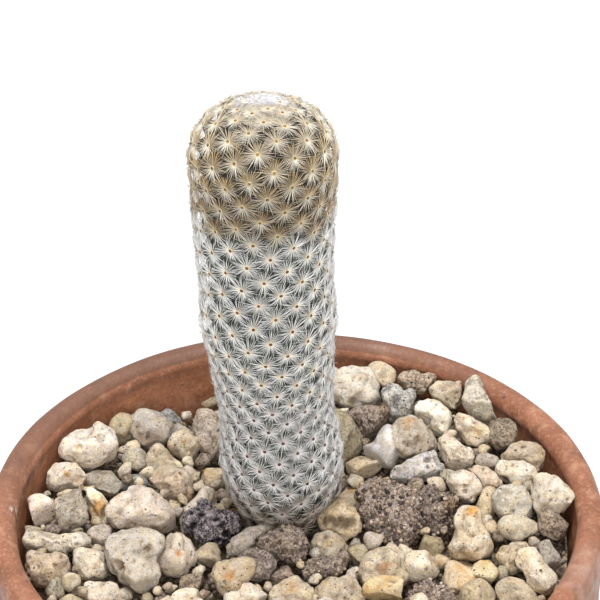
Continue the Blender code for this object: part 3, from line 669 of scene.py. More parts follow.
# Stains, pits and bumps on the stones
MARKS = (
    # pixel x and y, radius and depth in millimetres (a bump where it is negative), strength and stain
    (78, 447, 0.9, 0.9, 0.4, "olive"), (70, 459, 0.6, 0.6, 0.4, "brown"), (91, 429, 0.7, 0.6, 0.3, "brown"),
    (67, 475, 1.0, 0.2, 0.8, "ochre"), (84, 480, 1.6, 0.0, 0.3, "pink"),
    (139, 437, 1.4, 0.3, 0.45, "brown"), (148, 439, 0.5, 0.6, 0.7, "black"),
    (137, 428, 1.4, 0.2, 0.4, "olive"), (156, 444, 1.2, 0.1, 0.3, "brown"),
    (184, 443, 1.1, 0.5, 0.7, "yellow"), (186, 440, 0.6, 0.5, 0.6, "rust"),
    (156, 452, 1.0, 0.2, 0.4, "olive"), (182, 473, 0.45, 0.6, 0.7, "brown"),
    (168, 486, 0.9, 0.8, 0.3, "brown"), (186, 498, 1.6, 0.0, 0.5, "ochre"),
    (189, 423, 1.7, -0.3, 0.6, "ochre"), (205, 478, 1.5, 0.0, 0.8, "rust"),
    (98, 508, 2.0, 0.0, 0.9, "ochre"), (100, 516, 1.3, 0.0, 0.7, "rust"), (89, 497, 1.5, 0.0, 0.4, "white"),
    (35, 527, 1.1, 0.5, 0.6, "olive"), (44, 548, 1.6, 0.4, 0.3, "brown"), (60, 548, 2.2, 0.3, 0.2, "white"),
    (46, 556, 1.6, 0.2, 0.4, "pink"), (151, 550, 0.9, 1.5, 1.0, "brown"),
    (119, 567, 1.1, 1.5, 1.0, "brown"), (141, 541, 0.6, 0.6, 0.8, "brown"),
    (133, 561, 0.4, 0.5, 0.5, "brown"), (128, 573, 0.6, 0.4, 0.4, "brown"),
    (178, 554, 1.0, 0.3, 0.9, "rust"), (117, 513, 0.8, 0.2, 0.5, "brown"),
    (131, 497, 1.2, 0.2, 0.3, "brown"), (342, 389, 0.7, 0.7, 0.5, "brown"),
    (350, 401, 0.8, 0.5, 0.3, "olive"), (358, 378, 1.0, 0.2, 0.3, "ochre"),
    (474, 423, 0.5, 0.5, 0.7, "brown"), (463, 418, 0.6, 0.3, 0.7, "rust"),
    (480, 431, 1.5, 0.0, 0.5, "yellow"), (408, 421, 1.5, 0.0, 0.6, "ochre"),
    (398, 432, 0.5, 0.5, 0.7, "black"), (418, 437, 0.45, 0.5, 0.7, "brown"),
    (370, 425, 0.9, 1.3, 0.8, "black"), (384, 410, 1.2, -0.7, 0.6, "ochre"),
    (358, 416, 0.8, 0.6, 0.5, "black"), (428, 457, 0.6, 0.5, 0.85, "black"),
    (428, 467, 0.5, 0.4, 0.85, "black"), (437, 460, 1.5, 0.0, 0.6, "white"),
    (504, 480, 0.8, 0.6, 0.85, "black"), (512, 465, 0.4, 0.5, 0.6, "brown"),
    (549, 483, 0.55, 0.5, 0.7, "brown"), (524, 447, 0.5, 0.4, 0.6, "black"),
    (472, 510, 1.6, 0.0, 0.9, "ochre"), (470, 538, 1.2, 0.4, 0.3, "brown"),
    (464, 486, 0.45, 0.5, 0.6, "brown"), (466, 492, 0.4, 0.4, 0.5, "brown"),
    (524, 555, 1.5, 0.0, 0.6, "yellow"), (536, 574, 0.4, 0.4, 0.6, "black"),
    (430, 406, 1.5, 0.6, 0.1, "olive"), (450, 503, 2.0, -0.3, 0.7, "yellow"),
    (441, 497, 1.0, 0.6, 0.8, "black"), (447, 516, 1.2, 0.9, 0.8, "black"),
    (430, 485, 1.8, -0.6, 0.8, "yellow"), (436, 491, 0.8, 0.5, 0.7, "black"),
    (484, 513, 1.2, 0.0, 0.5, "ochre"), (396, 399, 1.6, 0.3, 0.8, "black"),
    (385, 388, 1.4, 0.3, 0.7, "black"), (328, 541, 1.2, 0.0, 0.6, "yellow"),
    (325, 537, 0.35, 0.5, 0.7, "brown"), (345, 548, 0.35, 0.4, 0.9, "black"),
    (327, 520, 1.5, 0.1, 0.80, "umber"), (336, 523, 1.6, 0.1, 0.85, "umber"),
    (345, 524, 1.6, 0.1, 0.85, "umber"), (353, 521, 1.4, 0.1, 0.75, "umber"),
    # The two broad brown marks on this line darken pumice_stone_02's lower front: painted shade.
    (146, 441, 3.4, 0.2, 0.45, "brown"), (160, 436, 1.6, 0.1, 0.30, "brown"),
    (229, 575, 1.2, 0.0, 0.7, "rust"), (224, 582, 0.4, 0.5, 0.8, "black"),
    (236, 571, 0.7, -0.3, 0.3, "ochre"), (371, 562, 0.7, 0.6, 0.8, "black"),
    (383, 567, 1.5, 0.2, 0.6, "rust"), (290, 549, 0.8, -0.3, 0.5, "white"),
    (276, 543, 1.0, 0.5, 0.5, "black"), (304, 548, 1.0, 0.5, 0.4, "black"),
    (320, 571, 1.0, 0.0, 0.6, "black"), (293, 586, 1.5, 0.0, 0.5, "ochre"),
    (325, 583, 1.0, 0.0, 0.5, "yellow"),
)
# Lumps grown on the stones: pixel x and y, radius and rise in millimetres
LUMPS = (
    (192, 522, 1.5, 0.7), (203, 515, 1.5, 0.9), (214, 520, 1.6, 0.8), (226, 519, 1.4, 0.6),
    (207, 533, 1.6, 0.7), (101, 427, 2.2, 0.7), (384, 410, 1.5, 0.7), (450, 501, 2.0, 0.7),
    (432, 490, 1.8, 0.8), (440, 515, 1.6, 0.6), (204, 416, 1.7, 0.8), (170, 452, 1.8, 0.7),
    (158, 450, 1.5, 0.8), (372, 564, 1.9, 0.9), (385, 553, 1.7, 0.5), (396, 560, 1.9, 0.8),
    (403, 574, 1.6, 0.5), (186, 437, 1.6, 0.6), (245, 565, 1.5, 0.5), (465, 549, 2.6, 0.6),
    (342, 378, 1.8, 0.6), (362, 375, 1.9, 0.7), (350, 393, 2.2, 0.5), (368, 399, 1.6, 0.6),
    (281, 536, 1.4, 0.6), (296, 545, 1.5, 0.6), (435, 404, 2.4, 0.4), (446, 415, 2.0, 0.5),
    (71, 447, 3.0, 0.4), (104, 450, 2.6, 0.4), (176, 486, 2.6, 0.6), (162, 473, 2.0, 0.5),
    (45, 562, 1.6, 0.6), (60, 561, 1.8, 0.7), (50, 575, 1.7, 0.5),
)
# Edges of the stones in the photograph, as pixels read, with a guess where another stone hides one
OUTLINES = {
    "pumice_stone_01": (
        (57, 457), (58, 448), (63, 438), (73, 430), (89, 429), (95, 423), (103, 422), (109, 425),
        (116, 433), (118, 443), (117, 453), (113, 461), (103, 466), (88, 468), (76, 468), (65, 463)),
    "pumice_stone_02": (
        (127, 429), (130, 414), (139, 408), (148, 408), (161, 411), (169, 418), (171, 429), (170, 440),
        (163, 447), (154, 453), (147, 454), (141, 449), (136, 443), (129, 438)),
    "tan_stone_01": (
        (179, 429), (185, 427), (192, 432), (198, 439), (200, 449), (197, 459), (191, 467), (186, 468),
        (182, 460), (176, 454), (170, 449), (169, 443), (172, 436)),
    "brown_stone_01": (
        (192, 430), (194, 421), (199, 414), (203, 409), (209, 409), (214, 413), (220, 420), (224, 430),
        (225, 445), (221, 457), (212, 461), (203, 459), (198, 450), (194, 440)),
    "tan_stone_02": (
        (152, 448), (158, 444), (166, 448), (172, 456), (181, 464), (180, 468), (169, 470), (156, 474),
        (147, 478), (139, 474), (144, 464), (147, 456)),
    "tan_stone_03": (
        (155, 470), (161, 466), (176, 467), (186, 470), (191, 478), (192, 495), (186, 503), (176, 501),
        (169, 496), (160, 490), (152, 485), (148, 480), (152, 474)),
    "pumice_stone_09": (
        (177, 517), (182, 508), (195, 498), (205, 487), (213, 489), (216, 497), (217, 511), (212, 522),
        (207, 535), (200, 541), (189, 539), (180, 531)),
    "lava_stone_01": (
        (185, 521), (187, 514), (193, 511), (199, 510), (200, 502), (203, 499), (206, 502), (208, 508),
        (216, 509), (225, 513), (236, 516), (240, 525), (239, 535), (231, 541), (218, 544), (205, 542),
        (196, 536), (188, 530)),
    "pumice_stone_04": (
        (103, 516), (106, 508), (116, 496), (129, 487), (141, 485), (150, 489), (158, 497), (169, 505),
        (176, 512), (178, 520), (174, 529), (166, 534), (155, 531), (141, 529), (126, 529), (114, 529),
        (107, 524)),
    "orange_stone_01": (
        (83, 487), (91, 487), (100, 493), (108, 503), (107, 512), (103, 519), (101, 526), (95, 521),
        (89, 512), (85, 501)),
    "grey_stone_01": (
        (54, 499), (59, 494), (70, 492), (80, 487), (84, 499), (87, 509), (88, 518), (82, 523),
        (78, 530), (70, 534), (59, 534), (56, 522), (53, 510)),
    "pumice_stone_03": (
        (22, 538), (25, 529), (34, 529), (44, 531), (59, 535), (73, 534), (86, 533), (91, 542),
        (88, 549), (73, 551), (59, 553), (44, 557), (30, 551), (23, 545)),
    "pumice_stone_07": (
        (73, 560), (75, 550), (82, 548), (102, 552), (108, 565), (109, 575), (103, 581), (88, 582),
        (78, 578), (73, 571)),
    "tan_stone_05": (
        (27, 561), (29, 552), (44, 556), (56, 553), (66, 556), (70, 568), (69, 580), (60, 583),
        (49, 585), (42, 588), (34, 580), (28, 570)),
    "pumice_stone_05": (
        (103, 544), (108, 534), (120, 528), (138, 526), (154, 528), (164, 534), (167, 542), (163, 549),
        (157, 556), (158, 565), (161, 574), (156, 584), (147, 592), (139, 594), (132, 591), (126, 583),
        (121, 577), (111, 571), (106, 559)),
    "pumice_stone_06": (
        (155, 560), (158, 554), (166, 546), (173, 536), (178, 534), (186, 540), (195, 547), (198, 555),
        (194, 564), (186, 572), (176, 578), (166, 577), (158, 569)),
    "pumice_stone_10": (
        (168, 600), (171, 592), (179, 587), (191, 585), (199, 588), (203, 596), (203, 607), (192, 614),
        (175, 612)),
    "pumice_stone_08": (
        (84, 583), (88, 581), (97, 583), (108, 581), (117, 584), (122, 593), (121, 603), (110, 610),
        (96, 609), (87, 600)),
    "pumice_stone_11": (
        (326, 386), (333, 373), (342, 366), (352, 365), (361, 367), (371, 367), (378, 374), (380, 382),
        (378, 390), (381, 400), (378, 407), (364, 409), (352, 408), (340, 404), (331, 398)),
    "brown_stone_04": (
        (396, 377), (402, 372), (413, 371), (423, 372), (433, 372), (438, 377), (436, 386), (430, 391),
        (421, 396), (411, 394), (400, 388)),
    "tan_stone_07": (
        (431, 388), (437, 381), (449, 380), (461, 381), (464, 390), (463, 404), (457, 411), (447, 410),
        (439, 403), (432, 396)),
    "grey_stone_03": (
        (463, 391), (466, 381), (473, 376), (478, 377), (483, 388), (489, 400), (494, 409), (496, 419),
        (494, 427), (485, 428), (475, 421), (466, 414), (462, 405)),
    "pumice_stone_12": (
        (414, 409), (418, 400), (428, 397), (438, 398), (447, 405), (454, 412), (454, 426), (450, 436),
        (440, 436), (430, 428), (421, 421), (414, 417)),
    "blue_grey_stone_01": (
        (381, 397), (382, 388), (389, 383), (397, 384), (404, 392), (412, 390), (416, 397), (413, 409),
        (409, 416), (399, 421), (391, 422), (387, 412)),
    "brown_stone_05": (
        (347, 413), (356, 408), (368, 406), (382, 405), (390, 406), (391, 414), (384, 422), (379, 431),
        (371, 440), (362, 440), (356, 428), (350, 419)),
    "olive_stone_01": (
        (331, 409), (340, 409), (351, 416), (358, 426), (362, 438), (361, 450), (356, 461), (347, 466),
        (338, 462), (332, 448), (329, 428)),
    "quartz_stone_01": (
        (362, 446), (373, 442), (380, 430), (387, 423), (392, 425), (396, 436), (400, 450), (399, 458),
        (390, 470), (383, 469), (373, 464), (364, 456)),
    "tan_stone_10": (
        (389, 437), (391, 426), (399, 419), (412, 416), (423, 420), (433, 428), (437, 438), (437, 449),
        (427, 455), (413, 458), (404, 460), (396, 454), (391, 445)),
    "tan_stone_09": (
        (452, 417), (457, 412), (466, 414), (478, 419), (489, 428), (498, 435), (499, 442), (490, 447),
        (478, 448), (466, 446), (457, 437), (453, 426)),
    "tan_stone_11": (
        (436, 438), (442, 434), (452, 434), (462, 442), (473, 450), (476, 459), (471, 468), (461, 472),
        (450, 470), (443, 461), (437, 450)),
    "tan_stone_08": (
        (502, 455), (509, 445), (521, 441), (535, 441), (543, 445), (548, 454), (546, 465), (540, 473),
        (528, 470), (512, 465), (503, 461)),
    "pumice_stone_13": (
        (494, 468), (499, 460), (511, 459), (524, 460), (535, 467), (542, 476), (536, 485), (525, 490),
        (512, 487), (502, 481), (495, 475)),
    "pumice_stone_14": (
        (530, 487), (535, 476), (545, 473), (557, 476), (568, 484), (575, 493), (576, 498), (571, 505),
        (559, 511), (547, 515), (537, 515), (532, 506), (530, 496)),
    "pumice_stone_15": (
        (490, 499), (497, 487), (509, 484), (523, 486), (529, 495), (533, 504), (533, 514), (531, 522),
        (519, 521), (509, 519), (499, 519), (493, 511)),
    "pumice_stone_16": (
        (446, 482), (450, 472), (462, 469), (473, 474), (481, 483), (482, 493), (475, 501), (464, 504),
        (455, 500), (449, 492)),
    "tan_stone_12": (
        (466, 469), (477, 462), (485, 464), (495, 474), (502, 485), (497, 493), (485, 498), (478, 490),
        (472, 478)),
    "grey_stone_04": (
        (388, 477), (394, 467), (406, 459), (418, 454), (433, 450), (440, 454), (444, 464), (445, 473),
        (440, 481), (430, 482), (418, 484), (404, 483), (393, 481)),
    "soil_clod_01": (
        (358, 488), (366, 482), (376, 478), (390, 480), (406, 485), (419, 490), (425, 503), (426, 521),
        (421, 535), (413, 547), (399, 549), (382, 544), (370, 536), (365, 521), (361, 505)),
    "brown_stone_06": (
        (421, 488), (433, 485), (447, 495), (459, 505), (457, 514), (451, 523), (445, 541), (433, 544),
        (425, 531), (421, 513), (420, 499)),
    "orange_stone_03": (
        (454, 520), (457, 512), (464, 505), (475, 506), (483, 512), (486, 526), (490, 538), (492, 547),
        (488, 556), (478, 562), (461, 561), (450, 558), (449, 550), (453, 538), (455, 528)),
    "tan_stone_13": (
        (495, 556), (502, 548), (515, 541), (526, 541), (531, 547), (530, 560), (524, 572), (513, 577),
        (503, 570)),
    "pumice_stone_17": (
        (513, 558), (518, 550), (526, 547), (533, 549), (543, 560), (555, 574), (557, 581), (552, 591),
        (545, 597), (533, 589), (524, 577), (516, 567)),
    "tan_stone_14": (
        (357, 577), (361, 562), (369, 552), (380, 546), (395, 545), (404, 553), (407, 564), (411, 576),
        (408, 586), (392, 586), (375, 585), (362, 585)),
    "tan_stone_15": (
        (310, 543), (316, 534), (329, 530), (341, 537), (349, 547), (350, 558), (345, 568), (330, 567),
        (317, 563), (311, 553)),
    "olive_stone_02": (
        (318, 519), (324, 507), (335, 499), (345, 498), (354, 506), (362, 518), (363, 531), (355, 541),
        (341, 543), (329, 537), (320, 529)),
    "grey_stone_02": (
        (226, 548), (232, 537), (247, 526), (262, 522), (272, 521), (277, 526), (272, 534), (262, 542),
        (250, 552), (238, 557), (228, 555)),
    "brown_stone_02": (
        (260, 544), (266, 533), (274, 527), (291, 525), (305, 531), (310, 542), (308, 556), (298, 566),
        (282, 562), (268, 558), (261, 551)),
    "brown_stone_03": (
        (237, 559), (245, 548), (258, 547), (272, 556), (276, 567), (268, 577), (254, 580), (242, 573)),
    "orange_stone_02": (
        (209, 574), (213, 563), (224, 560), (237, 559), (250, 558), (256, 561), (253, 572), (244, 585),
        (237, 594), (223, 598), (213, 589)),
    "brown_stone_07": (
        (303, 573), (308, 560), (325, 558), (345, 559), (347, 571), (338, 580), (325, 582), (316, 586),
        (306, 584)),
    "tan_stone_06": (
        (267, 593), (272, 583), (284, 578), (297, 576), (308, 582), (316, 592), (320, 602), (312, 612),
        (286, 616), (268, 608)),
    "tan_stone_16": (
        (313, 591), (320, 582), (329, 574), (338, 578), (347, 575), (357, 579), (364, 592), (366, 604),
        (342, 613), (319, 607)),
    "soil_clod_02": (
        (407, 593), (414, 583), (424, 580), (440, 583), (452, 590), (459, 600), (455, 613), (430, 617),
        (408, 609)),
}
# Finest step of a stone's skin, and how many steps go across a stone
FINEST_STEP = 0.00028
STEPS_ACROSS = 48
# Cell size and depth of the open pores of the lava
LAVA_PORES = ((0.0021, 0.00105), (0.0011, 0.00060))
# Directions in which an outline is compared, and the least share of its reach that a stone keeps downwards
OUTLINE_TURNS = 72
KEPT_BELOW = 0.88
# Tints of single stones beside the colour of their kind; the notes below mark tints that also carry painted
# shade and painted light
TINTS = {
    # pumice_stone_02's tint is darker partly as painted shade of its shaded front.
    "pumice_stone_01": (1.06, 1.09, 1.14), "pumice_stone_02": (0.68, 0.70, 0.75),
    "pumice_stone_03": (0.95, 0.94, 0.96), "pumice_stone_05": (0.84, 0.84, 0.86),
    "pumice_stone_06": (0.90, 0.90, 0.90), "pumice_stone_08": (0.98, 1.0, 0.98),
    "pumice_stone_11": (0.93, 0.97, 1.02), "pumice_stone_12": (1.27, 1.30, 1.34),
    "pumice_stone_15": (0.82, 0.88, 0.86), "pumice_stone_14": (0.92, 0.91, 0.92),
    "pumice_stone_17": (1.10, 1.09, 1.06), "tan_stone_04": (1.30, 1.38, 1.49),
    "tan_stone_05": (1.02, 0.98, 0.95), "tan_stone_08": (0.90, 0.88, 0.86),
    "tan_stone_09": (1.27, 1.28, 1.32), "tan_stone_10": (0.92, 0.97, 1.03),
    "tan_stone_11": (1.25, 1.32, 1.42), "tan_stone_12": (1.12, 1.08, 1.08),
    "brown_stone_01": (1.02, 0.97, 0.94), "brown_stone_03": (0.92, 0.95, 1.02),
    "brown_stone_04": (1.32, 1.28, 1.20), "brown_stone_05": (1.06, 1.08, 1.06),
    "brown_stone_06": (0.76, 0.78, 0.81), "grey_stone_01": (0.92, 0.90, 0.88),
    "grey_stone_03": (1.22, 1.22, 1.20), "grey_stone_04": (1.24, 1.29, 1.40),
    # olive_stone_02's tint is lighter partly to undo the stem's shadow: painted light.
    "blue_grey_stone_01": (1.26, 1.24, 1.22), "olive_stone_02": (1.52, 1.46, 1.38),
    "orange_stone_01": (1.40, 1.50, 1.72), "orange_stone_02": (0.68, 0.68, 0.69),
    # quartz_stone_01's tint is darker partly as painted shade of its shaded right half.
    "orange_stone_03": (0.98, 1.02, 1.14), "quartz_stone_01": (0.72, 0.71, 0.74),
}


def stone_material(kind):
    pale, middle, stained, dark = STONE_COLOURS[kind]
    pale, middle = ([min(BRIGHTENED * part, 0.86) for part in tone] for tone in (pale, middle))
    grainy = GRAINY.get(kind)
    material, tree, shader = new_material(kind + "_stone", 0.38 if kind in GLOSSY else 0.92, 0.25)
    base = mix(tree, patches(tree, 0.0034, 5, 1.0, 0.38, 0.60, roughness=0.7), middle, pale)
    least = 0.62 - 0.22 * STAINED.get(kind, 0.2)
    base = mix(tree, patches(tree, 0.0042, 6, 6.0, least, 0.70, 0.85, distortion=0.5), base, stained)
    warmth = patches(tree, 0.0014, 4, 9.0, 0.40, 0.62)
    base = multiplied(tree, base, mix(tree, warmth, (0.98, 1.0, 1.04), (1.03, 0.97, 0.86)))
    grain = spread(tree, noise(tree, 0.00040, 4, 2.0, roughness=0.8), 0.30, 0.70, 0.64, 1.22)
    base = multiplied(tree, base, grain)
    if grainy:
        # For the lava the pale grains are painted glints.
        grains = cells(tree, GRAIN_SIZES.get(kind, 0.00042), "Color", seed=7.0)
        base = mix(tree, spread(tree, grains, 0.54, 0.72, 0.0, grainy), base, pale)
        base = mix(tree, spread(tree, grains, 0.48, 0.24, 0.0, grainy), base, dark)
    # Pores, pits and the dents of the relief are darkened in colour below: painted shade.
    pores = spread(tree, cells(tree, 0.00064, seed=3.0, stretch=(0.62, 0.9, 1.0)), 0.17, 0.27, 1.0, 0.0)
    pores = calculate(tree, "MULTIPLY", pores, patches(tree, 0.0026, 2, 4.0, 0.36, 0.50, 0.9))
    pits = spread(tree, cells(tree, 0.0017, seed=8.0), 0.12, 0.19, 0.95, 0.0)
    pores = calculate(tree, "MAXIMUM", pores, pits)
    dents = spread(tree, attribute(tree, "relief"), -0.15, -1.1, 0.0, 0.45)
    if kind != "quartz":
        base = mix(tree, dents, base, dark)
        base = mix(tree, pores, base, dark)
        bump(tree, shader, pores, -0.0004)
        bump(tree, shader, noise(tree, 0.0010, 6, 5.0, roughness=0.75), 0.0010 if grainy else 0.0008)
    # Darker in the hollows of the pores: painted shade.
    base = mix(tree, attribute(tree, "hollow"), base, dark)
    base = multiplied(tree, base, attribute(tree, "tint", "Color"))
    put(tree, shader.inputs["Base Color"], base)
    return material


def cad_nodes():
    return frame["nodes"]


def stone_nodes():
    return sorted(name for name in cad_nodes() if "_stone_" in name or "clod" in name)


def stone_skins(stones):
    """A tree of all the stones' faces for rays, and the name of the stone that each face belongs to."""
    places = []
    faces = []
    owners = []
    for name, obj in stones.items():
        start = len(places)
        faces += [[start + i for i in face.vertices] for face in obj.data.polygons]
        owners += [name] * len(obj.data.polygons)
        places += [vert.co.copy() for vert in obj.data.vertices]
    return BVHTree.FromPolygons(places, faces), owners


def placed_by_pixel(rows, skins):
    """For each stone, where it is seen at the pixels of the rows, with each row's rest."""
    found = {}
    for row in rows:
        place, _, face, _ = skins[0].ray_cast(*seen_along(*row[:2]))
        if place is not None:
            found.setdefault(skins[1][face], []).append((place, row[2:]))
    return found


def copied_mesh(node, name):
    """A copy of a CAD node's mesh, with the vertices that its import split joined again."""
    form = bmesh.new()
    form.from_mesh(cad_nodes()[node].data)
    bmesh.ops.remove_doubles(form, verts=form.verts, dist=1e-6)
    mesh = bpy.data.meshes.new(name)
    form.to_mesh(mesh)
    form.free()
    return mesh


def remeshed(obj, voxel, smoothing):
    """An even skin over the object's shape, with its edges rounded off and its size kept."""
    before = places_of(obj.data)
    skin = obj.modifiers.new("skin", "REMESH")
    skin.mode = "VOXEL"
    skin.voxel_size = voxel
    soften = obj.modifiers.new("soften", "SMOOTH")
    soften.factor = 0.5
    soften.iterations = smoothing
    evaluated = obj.evaluated_get(bpy.context.evaluated_depsgraph_get())
    mesh = bpy.data.meshes.new_from_object(evaluated)
    mesh.name = obj.name
    obj.modifiers.clear()
    obj.data = mesh
    after = places_of(mesh)
    middle = (after.min(0) + after.max(0)) / 2
    growth = 0.4 + 0.6 * np.ptp(before, axis=0) / np.ptp(after, axis=0)
    set_places(mesh, middle + (after - middle) * growth)


def on_picture(places):
    """Pixel x and y of places in the photograph, and how far in front of the camera they lie."""
    start, back, up = camera_axes()
    away = places - np.array(start)
    depth = -(away @ np.array(back))
    spots = np.stack([away[:, 0], -(away @ np.array(up))], axis=1) * FOCAL_PIXELS / depth[:, None]
    return PICTURE / 2 + spots, depth


def edge_reach(spots, middle):
    """How far spots reach from a middle in each of the compared directions."""
    away = spots - middle
    slot = np.floor(np.arctan2(away[:, 1], away[:, 0]) / math.tau * OUTLINE_TURNS).astype(int) % OUTLINE_TURNS
    reach = np.zeros(OUTLINE_TURNS)
    np.maximum.at(reach, slot, np.hypot(away[:, 0], away[:, 1]))
    return reach


def fit_outline(mesh, outline):
    """Shift a stone's skin sideways, as the camera sees it, until its edge follows its outline."""
    places = places_of(mesh)
    spots, depth = on_picture(places)
    corners = np.array(outline, float)
    steps = np.linspace(0, 1, 40, endpoint=False)[:, None]
    edge = np.concatenate([a + (b - a) * steps for a, b in zip(corners, np.roll(corners, -1, axis=0))])
    middle = (spots.min(0) + spots.max(0)) / 2
    goal = (edge.min(0) + edge.max(0)) / 2
    turns = (np.arange(OUTLINE_TURNS) + 0.5) * math.tau / OUTLINE_TURNS
    growth = edge_reach(edge, goal) / edge_reach(spots, middle)
    growth = np.maximum(growth, KEPT_BELOW * ease((np.sin(turns) - 0.4) / 0.4))
    growth = 0.5 * growth + 0.25 * np.roll(growth, 1) + 0.25 * np.roll(growth, -1)
    away = spots - middle
    own = np.interp(np.arctan2(away[:, 1], away[:, 0]), turns, growth, period=math.tau)
    shift = (goal + away * own[:, None] - spots) * (depth / FOCAL_PIXELS)[:, None]
    up = np.array(camera_axes()[2])
    set_places(mesh, places + shift[:, :1] * np.array([1.0, 0.0, 0.0]) - shift[:, 1:] * up)


def weather(mesh, look, seed):
    """Move a stone's skin in and out, from broad unevenness down to pores, and keep how far as attributes."""
    _, broad, middle, fine, pore, depth, share = look
    places = places_of(mesh)
    normals = normals_of(mesh)
    relief = middle * rough_noise(places, 0.0025, 2, seed + 10)
    relief = relief + fine * rough_noise(places, 0.0010, 2, seed + 20)
    dent, chance = nearest_pore(places, 0.0046, seed + 60)
    dents = ease(1.25 - dent / 0.42) * (chance < 0.7)
    move = relief + broad * (smooth_noise(places, 0.0060, seed) - 0.9 * dents)
    hollow = np.zeros(len(places))
    if share:
        distance, number = nearest_pore(places, pore, seed + 40)
        width = 0.22 + 0.24 * number / share
        hollow = np.where(number < share, ease(1.3 - distance / width), 0.0)
        move -= depth * hollow
    set_places(mesh, places + normals * move[:, None])
    set_numbers(mesh, "relief", relief / middle)
    # The hollow of each pore darkens its colour later: painted shade.
    set_numbers(mesh, "hollow", 0.75 * hollow * (depth > 0))


def froth(mesh, seed):
    """Round open pores of two sizes, with sharp edges between them, as in lava."""
    places = places_of(mesh)
    normals = normals_of(mesh)
    total = np.zeros(len(places))
    for i, (size, depth) in enumerate(LAVA_PORES):
        distance, number = nearest_pore(places, size, seed + 10 * i)
        width = 0.40 + 0.16 * number
        hollow = np.sqrt(np.maximum(1 - (distance / width) ** 2, 0))
        total += depth * hollow
    bristle = 0.00030 * rough_noise(places, 0.0007, 2, seed + 30)
    set_places(mesh, places + normals * (0.0007 - total + bristle)[:, None])
    set_numbers(mesh, "relief", bristle / 0.0003)
    # The hollow of the open pores darkens the lava's colour: painted shade.
    set_numbers(mesh, "hollow", np.clip(total / 0.0010, 0, 1) ** 1.5)


def mark_stone(mesh, marks, lumps, tint, seed):
    """Raise the lumps, press in the pits and paint the stains of a stone, and keep its tint."""
    places = places_of(mesh)
    normals = normals_of(mesh)
    colours = np.tile(np.array(tint), (len(places), 1))
    ragged = 1 + 0.35 * smooth_noise(places, 0.0012, seed)
    for place, (radius, rise) in lumps:
        away = np.linalg.norm(places - np.array(place), axis=1) * (0.7 + 0.3 * ragged) / (radius * MM)
        places = places + normals * (rise * MM * np.sqrt(np.maximum(1 - away ** 2, 0)))[:, None]
    for place, (radius, depth, strength, stain) in marks:
        away = np.linalg.norm(places - np.array(place), axis=1) * ragged / (radius * MM)
        share = ease(1.35 - away)
        places = places - normals * (depth * MM * share)[:, None]
        colours = blended(colours, np.array(STAINS[stain]), (strength * share)[:, None])
    set_places(mesh, places)
    set_colours(mesh, "tint", colours)


def slot_of(node):
    return node.rsplit("_", 1)[0].replace("_stone", "")


def kind_of(node):
    return OWN_KINDS.get(node, slot_of(node))


def bare_stone(node):
    """A finely meshed copy of a CAD stone with the outline that the photograph shows."""
    obj = add_object(node + "_rock", copied_mesh(node, node))
    low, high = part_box(node)
    kind = kind_of(node)
    step = max(FINEST_STEP, (high - low).length / STEPS_ACROSS)
    remeshed(obj, 0.6 * step if kind == "lava" else step, STONE_LOOKS[kind][0])
    if node in OUTLINES:
        fit_outline(obj.data, OUTLINES[node])
    return obj


def make_stones(materials):
    """All the larger stones, each with its own marks."""
    stones = {node: bare_stone(node) for node in stone_nodes()}
    skins = stone_skins(stones)
    marks = placed_by_pixel(MARKS, skins)
    lumps = placed_by_pixel(LUMPS, skins)
    for number, (node, obj) in enumerate(stones.items()):
        kind = kind_of(node)
        rng = random.Random(500 + number)
        shade = rng.uniform(0.95, 1.04)
        own = TINTS.get(node, (1.0, 1.0, 1.0))
        tint = [shade * part * rng.uniform(0.98, 1.02) for part in own]
        mark_stone(obj.data, marks.get(node, ()), lumps.get(node, ()), tint, 900 + number)
        if kind == "lava":
            froth(obj.data, 77)
        else:
            weather(obj.data, STONE_LOOKS[kind], 100 + 3 * number)
        finish_piece(obj, slot_of(node), materials[kind], node)
    return stones


# Bed of gravel

SMALL_STONES = (
    # kind, pixel x and y of the middle, width and height in pixels, and turn in degrees
    ("blue_grey", 167, 409, 30, 28, 0), ("tan", 122, 430, 31, 33, 0), ("grey", 135, 459, 26, 24, 0),
    ("brown", 499, 459, 29, 38, 0), ("brown", 551, 539, 31, 34, 0), ("grey", 549, 565, 26, 30, 0),
    ("blue_grey", 132, 477, 30, 25, 0), ("orange", 212, 471, 27, 36, 0), ("pumice", 381, 396, 28, 28, 0),
    ("pumice", 518, 539, 40, 30, 0), ("orange", 484, 574, 29, 31, 0), ("pumice", 421, 565, 36, 30, 0),
    ("grey", 104, 485, 41, 21, -40), ("pumice", 43, 515, 30, 36, 0), ("tan", 208, 554, 29, 29, 0),
    ("orange", 458, 577, 36, 27, -35), ("orange", 383, 585, 41, 28, 0), ("orange", 256, 521, 23, 12, 0),
    ("orange", 256, 584, 17, 15, 0), ("pumice", 245, 596, 42, 25, 0), ("brown", 191, 581, 27, 22, 0),
    ("grey", 99, 537, 27, 21, 0), ("grey", 54, 592, 21, 23, 0), ("pumice", 71, 586, 23, 19, 0),
    ("brown", 487, 456, 25, 19, 0), ("tan", 363, 470, 36, 21, 0), ("tan", 487, 514, 23, 30, 0),
    ("brown", 499, 540, 13, 17, 0), ("tan", 466, 565, 23, 15, 0), ("tan", 476, 592, 38, 17, 0),
    ("grey", 503, 575, 13, 17, 0), ("pumice", 514, 594, 42, 24, 0), ("pumice", 424, 550, 18, 15, 0),
    ("brown", 437, 552, 14, 18, 0), ("tan", 365, 546, 27, 23, 0), ("pumice", 354, 567, 15, 12, 0),
    ("tan", 308, 592, 21, 19, 0), ("brown", 163, 592, 18, 16, 0), ("grey", 124, 592, 16, 15, 0),
    ("brown", 284, 574, 34, 26, 0), ("tan", 187, 424, 17, 17, 0),
)
